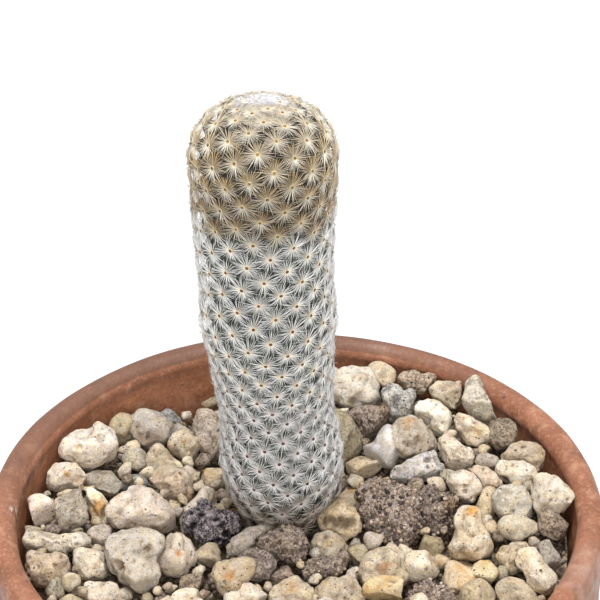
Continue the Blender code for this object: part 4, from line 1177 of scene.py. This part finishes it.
# How many stones of each size are dropped into the gaps, largest first, with the kinds they may be
FILL = ((30, 0.0100), (60, 0.0082), (110, 0.0066), (190, 0.0052), (260, 0.0040), (260, 0.0028))
FILL_KINDS = ("pumice",) * 9 + ("tan",) * 7 + ("brown",) * 5 + ("grey",) * 3 + ("orange",) * 3 + ("olive",)
# Least and greatest length, width and height of one as shares of its size
FILL_SHARES = ((0.85, 1.2), (0.75, 1.0), (0.6, 0.85))
# Places tried for each, and how far its top may stand above the gravel's level
FILL_TRIES = 70
FILL_TOP = 0.0030
# Sizes below which a small stone has the next coarser net, and each net's level and rounds of softening
NET_LIMITS = (0.0076, 0.0050)
NET_LEVELS = (4, 3, 2)
NET_SOFTENING = (4, 1, 0)
GRIT_COUNT = 5200
GRIT_SIZES = (0.0005, 0.0015)
# How many crumbs cover each crumbly stone, and the colours of the crumbs
CRUMBS = {
    "soil_clod_01": 2100, "soil_clod_02": 600,
    "brown_stone_06": 700, "brown_stone_02": 220, "brown_stone_07": 180,
}
CRUMB_COLOURS = (
    (0.44, 0.35, 0.29), (0.33, 0.25, 0.20), (0.24, 0.175, 0.140), (0.18, 0.130, 0.105), (0.10, 0.072, 0.060),
    (0.055, 0.041, 0.036), (0.36, 0.27, 0.18), (0.30, 0.215, 0.165),
)
GRIT_COLOURS = (
    (0.50, 0.43, 0.32), (0.38, 0.29, 0.19), (0.17, 0.12, 0.09), (0.08, 0.058, 0.045), (0.30, 0.26, 0.23),
)
# Grid of heights: its step, half its width, and the radius and height that keep stones off the stem's foot
FIELD_STEP = 0.0005
FIELD_HALF = 0.0580
FIELD_STEM = 0.0108
FIELD_CEILING = 0.1
# Rings and sides of the soil's skin, and how far it lies below the gravel's level
GROUND_RINGS = 72
GROUND_SIDES = 180
GROUND_DROP = 0.0028
# How far above the gravel's level the small stones' pixels are taken
SEEN_RISE = 0.0025


def bed_height(x, y):
    """Level of the gravel, which rises at the right and the left and dips behind and around the stem."""
    right_back = ease((0.75 * x + 0.66 * y - 0.012) / 0.040)
    left = ease((-x - 0.030) / 0.020)
    dip = np.hypot(x - BED_DIP_PLACE[0], y - BED_DIP_PLACE[1]) / BED_DIP_WIDTH
    stem = ease((0.016 - np.hypot(x - STEM_BASE[0], y - STEM_BASE[1])) / 0.006)
    rise = BED_RISE_RIGHT * right_back + BED_RISE_LEFT * left
    return BED_LEVEL + rise - BED_DIP * np.exp(-dip * dip) - BED_STEM_DIP * stem


def ground_height(x, y):
    """Soil under the gravel, which rises to meet the underside of each loose stone."""
    level = bed_height(x, y) - GROUND_DROP
    for name in stone_nodes():
        low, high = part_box(name)
        middle = (low + high) / 2
        width = 0.5 * min(high.x - low.x, high.y - low.y)
        away = np.hypot(x - middle.x, y - middle.y) / width
        level = np.maximum(level, low.z + 0.0007 - 0.0016 * away ** 2)
    return level


def make_ground():
    """Dark gritty soil under the gravel."""
    sides = GROUND_SIDES
    turns = [math.tau * j / sides for j in range(sides)]
    places = [(0.0, 0.0)]
    for i in range(1, GROUND_RINGS + 1):
        radius = GRAVEL_WALL_RADIUS * i / GROUND_RINGS
        places += [(radius * math.cos(turn), radius * math.sin(turn)) for turn in turns]
    flat = np.array(places)
    points = np.column_stack([flat, ground_height(flat[:, 0], flat[:, 1])])
    points[:, 2] += 0.0005 * rough_noise(points, 0.0035, 3, 61)
    faces = [(0, 1 + j, 1 + (j + 1) % sides) for j in range(sides)] + band_faces(GROUND_RINGS, sides, 1)
    ground = mesh_object("gritty_ground", points, faces)
    material = ground_material()
    finish_piece(ground, "gravel_bed", material, "gravel_bed")
    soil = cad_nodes()["soil"]
    soil.data.materials.clear()
    soil.data.materials.append(material)


def ground_material():
    material, tree, shader = new_material("gritty_ground", 0.95, 0.2)
    base = mix(tree, patches(tree, 0.0012, 4, 1.0, 0.35, 0.65), (0.045, 0.031, 0.022), (0.14, 0.10, 0.072))
    grains = cells(tree, 0.0007, "Color", seed=2.0)
    base = mix(tree, spread(tree, grains, 0.60, 0.68, 0.0, 0.8), base, (0.34, 0.27, 0.19))
    put(tree, shader.inputs["Base Color"], base)
    bump(tree, shader, noise(tree, 0.0008, 4, 2.0), 0.0006)
    return material


def start_field(skins):
    """Height of what lies in the pot at each point of a square grid: soil, loose stones and the stem."""
    count = int(2 * FIELD_HALF / FIELD_STEP) + 1
    line = np.linspace(-FIELD_HALF, FIELD_HALF, count)
    x, y = np.meshgrid(line, line, indexing="ij")
    height = ground_height(x, y)
    for i, j in np.ndindex(count, count):
        hit = skins[0].ray_cast(Vector((line[i], line[j], FIELD_CEILING)), Vector((0, 0, -1)))[0]
        if hit:
            height[i, j] = max(height[i, j], hit.z)
    stem = np.hypot(x - STEM_BASE[0], y - STEM_BASE[1]) < FIELD_STEM
    height[stem] = FIELD_CEILING
    return {"line": line, "height": height}


def field_row(value):
    """Number of the grid's row at an x, or of its column at a y."""
    return int((value + FIELD_HALF) / FIELD_STEP)


def stone_dome(field, stone, x, y):
    """The grid points under a stone and the height of its curved side above its middle at each."""
    reach = 0.5 * max(stone["sizes"][:2])
    window = tuple(slice(max(field_row(at - reach), 0), field_row(at + reach) + 2) for at in (x, y))
    dx = field["line"][window[0]][:, None] - x
    dy = field["line"][window[1]][None, :] - y
    turn = math.radians(stone["turn"])
    along = (dx * math.cos(turn) + dy * math.sin(turn)) / (0.5 * stone["sizes"][0])
    across = (dy * math.cos(turn) - dx * math.sin(turn)) / (0.5 * stone["sizes"][1])
    rest = 1 - along ** 2 - across ** 2
    return window, rest > 0, 0.5 * stone["sizes"][2] * np.sqrt(np.maximum(rest, 0))


def rest_on_field(field, stone, x, y):
    """Height of the stone's middle where it lies at a place, sunk a little into what carries it."""
    window, under, dome = stone_dome(field, stone, x, y)
    return float((field["height"][window] + dome)[under].max()) - 0.14 * stone["sizes"][2]


def lay_stone(field, stone, x, y, z):
    stone["place"] = (x, y, z)
    window, under, dome = stone_dome(field, stone, x, y)
    patch = field["height"][window]
    patch[under] = np.maximum(patch[under], z + dome[under])


def seen_small_stones(field):
    """The small stones seen in the photograph, each where its pixel meets the bed."""
    stones = []
    for kind, pixel_x, pixel_y, wide, high, turn in SMALL_STONES:
        start, direction = seen_along(pixel_x, pixel_y)
        reach = (BED_LEVEL + SEEN_RISE - start.z) / direction.z
        place = start + direction * reach
        pixel = reach / FOCAL_PIXELS
        length = wide * pixel
        sizes = length, max(1.08 * high * pixel, 0.75 * length), max(0.95 * high * pixel, 0.6 * length)
        stone = {"kind": kind, "sizes": sizes, "turn": turn}
        seat = float(bed_height(place.x, place.y)) + 0.34 * sizes[2]
        lay_stone(field, stone, place.x, place.y, min(rest_on_field(field, stone, place.x, place.y), seat))
        stones.append(stone)
    return stones


def random_spot(rng, reach):
    """Even random x and y within a circle."""
    out = reach * math.sqrt(rng.random())
    around = rng.uniform(0, math.tau)
    return out * math.cos(around), out * math.sin(around)


def drop_small_stones(field):
    """Smaller and smaller stones dropped into the gaps, each in the lowest of a few places."""
    rng = np.random.default_rng(21)
    stones = []
    for count, size in FILL:
        for _ in range(count):
            sizes = tuple(size * rng.uniform(low, high) for low, high in FILL_SHARES)
            kind = FILL_KINDS[rng.integers(len(FILL_KINDS))]
            stone = {"kind": kind, "sizes": sizes, "turn": rng.uniform(0, 180)}
            best = None
            for _ in range(FILL_TRIES):
                x, y = random_spot(rng, GRAVEL_WALL_RADIUS - 0.52 * size)
                z = rest_on_field(field, stone, x, y)
                height = z + 0.5 * sizes[2] - float(bed_height(x, y))
                if best is None or height < best[0]:
                    best = height, x, y, z
            if best[0] < FILL_TOP + 0.20 * size:
                lay_stone(field, stone, *best[1:])
                stones.append(stone)
    return stones


def ball_net(level):
    """Places, faces and edges of a ball of even triangles."""
    form = bmesh.new()
    bmesh.ops.create_icosphere(form, subdivisions=level, radius=1.0)
    places = np.array([vert.co[:] for vert in form.verts])
    faces = np.array([[vert.index for vert in face.verts] for face in form.faces])
    edges = np.array([[vert.index for vert in edge.verts] for edge in form.edges])
    form.free()
    return {"places": places, "faces": faces, "edges": edges, "degree": np.bincount(edges.ravel())[:, None]}


def rock_shape(rng, net, cuts, soften):
    """A unit ball with flat cuts across it, its edges softened, stretched back to fill a unit box."""
    places = net["places"].copy()
    for _ in range(cuts):
        direction = rng.normal(size=3)
        direction /= np.linalg.norm(direction)
        past = np.maximum(places @ direction - rng.uniform(0.46, 0.84), 0)
        places -= past[:, None] * direction
    first, second = net["edges"].T
    for _ in range(soften):
        total = np.zeros_like(places)
        for axis in range(3):
            total[:, axis] = np.bincount(first, places[second, axis], len(places))
            total[:, axis] += np.bincount(second, places[first, axis], len(places))
        places = 0.45 * places + 0.55 * total / net["degree"]
    low, high = places.min(0), places.max(0)
    return (places - (low + high) / 2) / (high - low)


def rock_places(rng, net, stone, soften):
    turned = Matrix.Rotation(math.radians(stone["turn"]), 3, "Z")
    for axis in "XY":
        turned = turned @ Matrix.Rotation(rng.uniform(-0.25, 0.25), 3, axis)
    shape = rock_shape(rng, net, int(rng.integers(8, 15)), soften)
    return (shape * stone["sizes"]) @ np.array(turned).T + stone["place"]


def strewn_object(name, parts, colours):
    """One object of many small stones, from the places and faces of each, with a colour for each."""
    counts = [len(places) for places, faces in parts]
    starts = np.cumsum([0] + counts[:-1])
    faces = np.concatenate([faces + start for (places, faces), start in zip(parts, starts)])
    obj = mesh_object(name, np.concatenate([places for places, faces in parts]), faces.tolist())
    set_colours(obj.data, "tint", np.repeat(colours, counts, axis=0))
    return obj


def small_look(look):
    """The look of a kind with weaker relief, for small stones."""
    smoothing, broad, middle, fine, pore, depth, share = look
    return smoothing, 0.7 * broad, 0.7 * middle, 0.7 * fine, pore, 0.7 * depth, share


def make_small_stones(field, materials):
    rng = np.random.default_rng(33)
    nets = [ball_net(level) for level in NET_LEVELS]
    kinds = {}
    for stone in seen_small_stones(field) + drop_small_stones(field):
        kinds.setdefault(stone["kind"], []).append(stone)
    for kind, stones in sorted(kinds.items()):
        parts = []
        tints = []
        for stone in stones:
            level = sum(max(stone["sizes"]) < limit for limit in NET_LIMITS)
            parts.append((rock_places(rng, nets[level], stone, NET_SOFTENING[level]), nets[level]["faces"]))
            shade = rng.uniform(0.80, 1.06)
            tints.append(shade * np.array([rng.uniform(0.98, 1.04), 1.0, rng.uniform(0.88, 1.04)]))
        obj = strewn_object("gravel_" + kind, parts, tints)
        weather(obj.data, small_look(STONE_LOOKS[kind]), 300)
        finish_piece(obj, "gravel_bed", materials[kind])


def random_tint(rng, colours, darkest, lightest):
    return np.array(colours[rng.integers(len(colours))]) * rng.uniform(darkest, lightest)


def make_grit(field):
    """Sand and crumbs of soil that lie in the hollows between the stones."""
    rng = np.random.default_rng(45)
    net = ball_net(1)
    parts = []
    tints = []
    for _ in range(GRIT_COUNT):
        x, y = random_spot(rng, GRAVEL_WALL_RADIUS - 0.0006)
        i, j = round((x + FIELD_HALF) / FIELD_STEP), round((y + FIELD_HALF) / FIELD_STEP)
        level = field["height"][i, j]
        if level > bed_height(x, y) + 0.0008:
            continue
        size = rng.uniform(*GRIT_SIZES)
        shape = rock_shape(rng, net, 2, 0) * size * rng.uniform(0.6, 1.1, 3)
        parts.append((shape + (x, y, level + 0.2 * size), net["faces"]))
        tints.append(random_tint(rng, GRIT_COLOURS, 0.7, 1.15))
    finish_piece(strewn_object("grit", parts, tints), "gravel_bed", tinted_material("grit", 0.95))


def make_crumbs(stones):
    """Crumbs of soil and stone that stand half out of the skins of the crumbly stones."""
    rng = np.random.default_rng(47)
    net = ball_net(1)
    for node, count in CRUMBS.items():
        places = places_of(stones[node].data)
        normals = normals_of(stones[node].data)
        parts = []
        tints = []
        for i in rng.integers(len(places), size=count):
            size = 0.00028 + 0.0008 * rng.random() ** 3
            shape = rock_shape(rng, net, 3, 0) * size * rng.uniform(0.7, 1.3, 3)
            parts.append((shape + places[i] + 0.15 * size * normals[i], net["faces"]))
            tints.append(random_tint(rng, CRUMB_COLOURS, 0.75, 1.2))
        crumbs = strewn_object(node + "_crumbs", parts, tints)
        finish_piece(crumbs, slot_of(node), tinted_material("crumbs", 0.95))


def tinted_material(name, roughness):
    """A dull, finely grained finish in the colours of the piece's own tint."""
    material, tree, shader = new_material(name, roughness, 0.2)
    grain = spread(tree, noise(tree, 0.0003, 3, 1.0), 0.3, 0.7, 0.7, 1.15)
    put(tree, shader.inputs["Base Color"], multiplied(tree, attribute(tree, "tint", "Color"), grain))
    bump(tree, shader, noise(tree, 0.0003, 3, 2.0), 0.0001)
    return material


# Stem

def smooth_radius(height):
    levels = STEM_RADII
    for (upper, upper_radius), (lower, lower_radius) in zip(levels, levels[1:]):
        if height >= lower:
            share = float(ease((height - lower) / (upper - lower)))
            return lower_radius + (upper_radius - lower_radius) * share
    return levels[-1][1]


def stem_profile():
    """Arrays of radius and height along the surface that carries the areoles, from the crown down."""
    rim = smooth_radius(DOME_LEVEL) - SPINE_RISE
    turns = np.linspace(1e-4, math.pi / 2, 160)
    radius = rim * np.sin(turns) ** (2 / DOME_POWER)
    height = DOME_LEVEL + (DOME_HEIGHT - SPINE_RISE) * np.cos(turns) ** (2 / DOME_POWER)
    below = np.arange(DOME_LEVEL, STEM_RADII[-1][0], -0.0004)[1:]
    radius = np.append(radius, [smooth_radius(z) - SPINE_RISE for z in below])
    height = np.append(height, below)
    return radius, height


def axis_places(height):
    """Centre of the stem, which bends gently to the left as it rises, and its slope at each height."""
    bend = np.clip((BEND_TOP - height) / BEND_LENGTH, 0.0, 1.0)
    across = STEM_TOP_X + (STEM_BASE[0] - STEM_TOP_X) * bend ** 1.5
    slope = -1.5 * (STEM_BASE[0] - STEM_TOP_X) / BEND_LENGTH * bend ** 0.5
    return np.stack([across, np.full_like(across, STEM_BASE[1]), height], axis=-1), slope


def profile_arc(radius, height):
    """Length along the profile up to each of its points, and the steps between them."""
    steps = np.hypot(np.diff(radius), np.diff(height))
    return np.append(radius[0], radius[0] + np.cumsum(steps)), steps


def surface_frame(radius, height, arc_length, at, turn):
    """Places, outward normals and downward directions on the stem at arc lengths and turns."""
    out_by = np.interp(at, arc_length, radius)
    level = np.interp(at, arc_length, height)
    lean = np.interp(at, arc_length, np.gradient(radius, arc_length))
    drop = np.interp(at, arc_length, np.gradient(height, arc_length))
    middle, slope = axis_places(level)
    stretch = 1 / np.sqrt(1 + slope ** 2)
    right = np.stack([stretch, np.zeros_like(slope), -slope * stretch], axis=-1)
    up = np.stack([slope * stretch, np.zeros_like(slope), stretch], axis=-1)
    out = right * np.cos(turn)[:, None] + np.array([0.0, 1.0, 0.0]) * np.sin(turn)[:, None]
    normal = out * -drop[:, None] + up * lean[:, None]
    down = out * lean[:, None] + up * drop[:, None]
    normal /= np.linalg.norm(normal, axis=1)[:, None]
    down /= np.linalg.norm(down, axis=1)[:, None]
    return middle + out * out_by[:, None], normal, down


def spread_areoles():
    """Areoles on a golden-angle spiral from the crown down, one to each cell of stem surface."""
    radius, height = stem_profile()
    arc_length, steps = profile_arc(radius, height)
    middle = 0.5 * (radius[1:] + radius[:-1])
    areas = np.interp(0.5 * (height[1:] + height[:-1]), *zip(*CELL_AREAS))
    count = np.append(0.0, np.cumsum(math.tau * middle * steps / (areas * MM * MM)))
    order = np.arange(int(count[-1] - 0.5))
    at = np.interp(order + 0.5, count, arc_length)
    twist = np.interp(np.interp(at, arc_length, height), *zip(*STEM_TWIST))
    turn = np.radians(twist) - (order + CROWN_SKIPPED) * GOLDEN_ANGLE
    place, normal, down = surface_frame(radius, height, arc_length, at, turn)
    area = np.interp(place[:, 2], *zip(*CELL_AREAS))
    place = place + SKIN_LIFT * normal
    return {"place": place, "normal": normal, "down": down, "arc": at, "reach": np.sqrt(area) * MM}


def make_stem_body(areoles):
    """Green body with a rounded tubercle under each areole."""
    sides = BODY_SIDES
    radius, height = stem_profile()
    arc_length, _ = profile_arc(radius, height)
    at = np.arange(arc_length[0], arc_length[-1], BODY_STEP)
    at = np.append(at, arc_length[-1])
    turns = np.arange(sides) * math.tau / sides
    rows = len(at)
    spots = np.repeat(at, sides), np.tile(turns, rows)
    place, normal, _ = surface_frame(radius, height, arc_length, *spots)
    tree = kdtree.KDTree(len(areoles["place"]))
    for i, spot in enumerate(areoles["place"]):
        tree.insert(spot, i)
    tree.balance()
    found = [tree.find(spot) for spot in place.tolist()]
    distance = np.array([item[2] for item in found])
    reach = areoles["reach"][[item[1] for item in found]]
    depth = VALLEY_DEPTH * ease(distance / (0.62 * reach)) ** 0.9 + 0.0003
    points = place + normal * (SKIN_LIFT - depth)[:, None]
    faces = band_faces(rows, sides)
    faces.append(tuple(reversed(range(sides))))
    foot = (rows - 1) * sides
    faces.append(tuple(range(foot, foot + sides)))
    body = mesh_object("cactus_body", points, faces)
    # Depth between the tubercles, which the skin's material darkens as painted shade.
    set_numbers(body.data, "depth", depth / VALLEY_DEPTH)
    brown = np.maximum(ease((points[:, 2] - TAN_BORDER) / 0.002), 0.8 * ease((0.080 - points[:, 2]) / 0.010))
    set_numbers(body.data, "brown", brown)
    finish_piece(body, "cactus", body_material(), "cactus")


def body_material():
    material, tree, shader = new_material("cactus_skin", 0.6, 0.3)
    base = mix(tree, patches(tree, 0.002, 3, 1.0, 0.35, 0.65), (0.105, 0.130, 0.090), (0.19, 0.215, 0.160))
    base = mix(tree, attribute(tree, "brown"), base, (0.115, 0.100, 0.060))
    # Darker between the tubercles: painted shade.
    deep = mix(tree, attribute(tree, "brown"), (0.042, 0.050, 0.040), (0.030, 0.025, 0.018))
    base = mix(tree, attribute(tree, "depth"), base, deep)
    put(tree, shader.inputs["Base Color"], base)
    bump(tree, shader, noise(tree, 0.0004, 3, 2.0), 0.00008)
    return material


def zone_shares(level):
    """How far the colours at each height are the tan ones of the top, and the pinkish ones of the foot."""
    tan = ease((level - TAN_BORDER + 0.0010) / TAN_FADE)[:, None]
    low = ease((LOW_BORDER + 0.5 * LOW_FADE - level) / LOW_FADE)[:, None]
    return tan, low


def spine_colours(rng, level, up):
    """Colours at the root, middle and tip of each spine, by its height on the stem and its direction."""
    count = len(level)
    white = np.array([0.88, 0.88, 0.87])
    cream = np.array([0.80, 0.71, 0.52])
    pink = np.array([0.78, 0.69, 0.66])
    cloudy = np.array([0.70, 0.67, 0.60])
    golden = np.array([0.55, 0.385, 0.175])
    brown = np.array([0.30, 0.165, 0.080])
    tan, low = zone_shares(level)
    dark = (1 - ease((level - 0.141) / 0.012))[:, None]
    crown = ease((level - 0.154) / 0.006)[:, None]
    upward = np.clip(0.5 + 0.5 * up, 0, 1)[:, None]
    chance = rng.uniform(0, 1, (count, 1))
    warm = np.clip(0.05 + 0.95 * upward + 0.5 * (chance - 0.5), 0, 1) * (1 - 0.45 * crown)
    deep = np.clip((upward - 0.35) * 1.4, 0, 1) * dark * (0.4 + 0.6 * chance)
    tanned = blended(blended(cloudy, golden, warm), brown, deep)
    middle = blended(white, tanned, tan)
    root = blended(blended(cream, pink, low), middle, 0.4) * (1 - 0.22 * tan)
    tip = blended(middle, blended(white, cloudy, tan), 0.1)
    earthy = 0.70 * ease((SOILED_LEVEL - level) / 0.011)[:, None]
    shade = rng.uniform(0.82, 1.08, (count, 1)) * (1 - earthy * np.array([0.85, 0.95, 1.05]))
    return root * shade, middle * shade, tip * shade


def spine_shapes(root, along, normal, length, lift, droop, sway, radius):
    """Corners of tapered three-sided spines that rise from their roots and bend back, seven to a spine."""
    across = np.cross(normal, along)
    rings = []
    for share in (0.0, 0.5, 1.0):
        middle = root + along * (length * share)[:, None] + across * (length * sway * share ** 2)[:, None]
        rings.append(middle + normal * (length * (lift * share - droop * share ** 2))[:, None])
    corners = [math.radians(angle) for angle in (90, 210, 330)]
    shape = [rings[i] + radius * width * (across * math.cos(a) + normal * math.sin(a))
             for i, width in enumerate((1.0, 0.90)) for a in corners]
    return np.stack(shape + [rings[2]], axis=1)


def spine_object(name, shapes, shades):
    """One mesh of many spines, with colours for each corner."""
    faces = repeated_faces([(2, 1, 0)] + tube_faces(2, 3), len(shapes), 7)
    obj = mesh_object(name, shapes.reshape(-1, 3), faces)
    set_colours(obj.data, "tint", shades.reshape(-1, 3))
    return obj


def corner_shades(root, middle, tip):
    return np.stack([root] * 3 + [middle] * 3 + [tip], axis=1)


def grown(areoles, *keys):
    """The arrays of the given names, without the youngest areoles."""
    return [areoles[key][areoles["arc"] > YOUNGEST_AREOLE] for key in keys]


def make_spines(areoles, material):
    """Fine, nearly straight, tapered spines that spread from each areole over the next ones."""
    rng = np.random.default_rng(8)
    place, normal, down, reach = grown(areoles, "place", "normal", "down", "reach")
    count = len(place)
    each = SPINES_EACH
    turn = (np.arange(each) + rng.uniform(-0.36, 0.36, (count, each))) * math.tau / each
    turn += rng.uniform(0, math.tau, (count, 1))
    side = np.cross(normal, down)
    along = -down[:, None] * np.cos(turn)[..., None] + side[:, None] * np.sin(turn)[..., None]
    along = along.reshape(-1, 3)
    normal = np.repeat(normal, each, axis=0)
    root = np.repeat(place, each, axis=0)
    level = root[:, 2].copy()
    up = np.cos(turn).ravel()
    length = np.repeat(reach, each) * SPINE_LENGTH * rng.uniform(0.60, 1.18, count * each) * (1 + 0.08 * up)
    lift = rng.uniform(*SPINE_LIFTS, count * each)
    droop = 0.45 * lift + rng.uniform(-0.02, 0.10, count * each)
    sway = rng.normal(0, 0.05, count * each)
    root = root + along * 0.00030 + normal * 0.00006
    shapes = spine_shapes(root, along, normal, length, lift, droop, sway, SPINE_RADIUS)
    shades = corner_shades(*spine_colours(rng, level, up))
    tan = level > TAN_BORDER
    lower = level < LOW_BORDER
    for name, chosen in (("spines_tan", tan), ("spines_white", ~tan & ~lower), ("spines_low", lower)):
        finish_piece(spine_object(name, shapes[chosen], shades[chosen]), "cactus", material)


def spine_material():
    material, tree, shader = new_material("spines", 0.40, 0.45)
    dusty = patches(tree, 0.0012, 2, 1.0, 0.40, 0.70, 0.15)
    base = mix(tree, dusty, attribute(tree, "tint", "Color"), (0.60, 0.56, 0.50))
    put(tree, shader.inputs["Base Color"], base)
    return material


def make_areoles(areoles):
    """A small cushion at the root of each star of spines, with a brown dot in a cream or pink ring."""
    rng = np.random.default_rng(15)
    place, normal, down = grown(areoles, "place", "normal", "down")
    side = np.cross(normal, down)
    tan, low = zone_shares(place[:, 2])
    cream = blended(np.array([0.82, 0.68, 0.42]), np.array([0.52, 0.45, 0.43]), low)
    dot = blended(np.array([0.150, 0.062, 0.022]), np.array([0.090, 0.050, 0.050]), low)
    dot = blended(dot, np.array([0.200, 0.125, 0.045]), tan) * rng.uniform(0.6, 1.3, (len(place), 1))
    corners = []
    shades = []
    for radius, rise in CUSHION_RINGS:
        for turn in np.arange(CUSHION_SIDES) * math.tau / CUSHION_SIDES:
            corners.append(place + radius * (side * math.cos(turn) + down * math.sin(turn)) + rise * normal)
            shades.append(cream if radius > DOT_RADIUS else dot)
    corners.append(place + 0.00020 * normal)
    shades.append(dot)
    pattern = tube_faces(len(CUSHION_RINGS), CUSHION_SIDES) + [tuple(reversed(range(CUSHION_SIDES)))]
    faces = repeated_faces(pattern, len(place), len(corners))
    obj = mesh_object("areoles", np.stack(corners, axis=1).reshape(-1, 3), faces)
    set_colours(obj.data, "tint", np.stack(shades, axis=1).reshape(-1, 3))
    finish_piece(obj, "cactus", tinted_material("areoles", 0.85))


def make_wool_cushion():
    """A low cushion of matted white wool on the crown, and a tree of its faces for rays."""
    obj = add_object("wool_cushion", copied_mesh("crown_wool", "wool_cushion"))
    remeshed(obj, WOOL_STEP, 3)
    places = places_of(obj.data)
    move = 0.00022 * rough_noise(places, 0.0011, 3, 71)
    set_places(obj.data, places + normals_of(obj.data) * move[:, None])
    right = (places[:, 0] - STEM_TOP_X) / BARE_WOOL[0]
    back = (places[:, 1] - STEM_BASE[1] - BARE_WOOL_BACK) / BARE_WOOL[1]
    set_numbers(obj.data, "edge", ease((np.hypot(right, back) - 0.85) / 0.3))
    finish_piece(obj, "crown_wool", wool_material(), "crown_wool")
    return face_tree(obj.data)


def lift_on_wool(areoles, wool):
    """Raise the youngest areoles, which would be buried in the wool, on to its surface."""
    for i in np.flatnonzero(areoles["arc"] < 1.4 * WOOL_RADIUS):
        place = Vector(areoles["place"][i])
        normal = Vector(areoles["normal"][i])
        hit = wool.ray_cast(place + 0.004 * normal, -normal, 0.004)[0]
        if hit:
            areoles["place"][i] = hit


def make_wool_fibres(wool, material):
    """Fine curling fibres over the wool."""
    rng = np.random.default_rng(52)
    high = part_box("crown_wool")[1]
    roots = []
    normals = []
    while len(roots) < WOOL_FIBRES:
        right, back = random_spot(rng, 1.05)
        right = STEM_TOP_X + right * BARE_WOOL[0]
        back = STEM_BASE[1] + BARE_WOOL_BACK + back * BARE_WOOL[1]
        start = Vector((right, back, high.z + 0.01))
        hit, normal = wool.ray_cast(start, Vector((0, 0, -1)))[:2]
        if hit:
            roots.append(hit)
            normals.append(normal)
    roots = np.array(roots)
    normals = np.array(normals)
    around = rng.uniform(0, math.tau, WOOL_FIBRES)
    along = np.stack([np.cos(around), np.sin(around), np.zeros(WOOL_FIBRES)], axis=1)
    along -= normals * (along * normals).sum(1)[:, None]
    along /= np.linalg.norm(along, axis=1)[:, None]
    length = rng.uniform(*FIBRE_LENGTHS, WOOL_FIBRES)
    lift = rng.uniform(0.1, 0.55, WOOL_FIBRES)
    droop = rng.uniform(0.1, 0.6, WOOL_FIBRES)
    sway = rng.normal(0, 0.5, WOOL_FIBRES)
    shapes = spine_shapes(roots, along, normals, length, lift, droop, sway, FIBRE_RADIUS)
    shade = rng.uniform(0.86, 1.0, (WOOL_FIBRES, 1)) * np.array([0.85, 0.845, 0.865])
    fibres = spine_object("wool_fibres", shapes, corner_shades(0.9 * shade, shade, shade))
    finish_piece(fibres, "crown_wool", material)


def wool_material():
    material, tree, shader = new_material("wool", 0.95, 0.15)
    base = mix(tree, patches(tree, 0.0006, 4, 1.0, 0.35, 0.65), (0.66, 0.645, 0.65), (0.82, 0.815, 0.835))
    base = mix(tree, attribute(tree, "edge"), base, (0.40, 0.36, 0.29))
    put(tree, shader.inputs["Base Color"], base)
    bump(tree, shader, noise(tree, 0.0003, 4, 2.0), 0.0003)
    return material


def main():
    add_camera()
    add_floor()
    add_light()
    make_pot()
    materials = {kind: stone_material(kind) for kind in STONE_LOOKS}
    stones = make_stones(materials)
    skins = stone_skins(stones)
    make_ground()
    field = start_field(skins)
    make_small_stones(field, materials)
    make_grit(field)
    make_crumbs(stones)
    areoles = spread_areoles()
    make_stem_body(areoles)
    wool = make_wool_cushion()
    lift_on_wool(areoles, wool)
    spines = spine_material()
    make_spines(areoles, spines)
    make_areoles(areoles)
    make_wool_fibres(wool, spines)


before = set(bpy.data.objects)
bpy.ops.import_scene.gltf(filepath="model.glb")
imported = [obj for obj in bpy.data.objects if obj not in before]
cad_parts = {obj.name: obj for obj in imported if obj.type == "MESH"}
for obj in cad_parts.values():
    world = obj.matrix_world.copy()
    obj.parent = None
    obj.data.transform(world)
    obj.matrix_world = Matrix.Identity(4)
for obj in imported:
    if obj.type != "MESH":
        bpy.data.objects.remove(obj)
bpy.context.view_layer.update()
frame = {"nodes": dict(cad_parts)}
main()
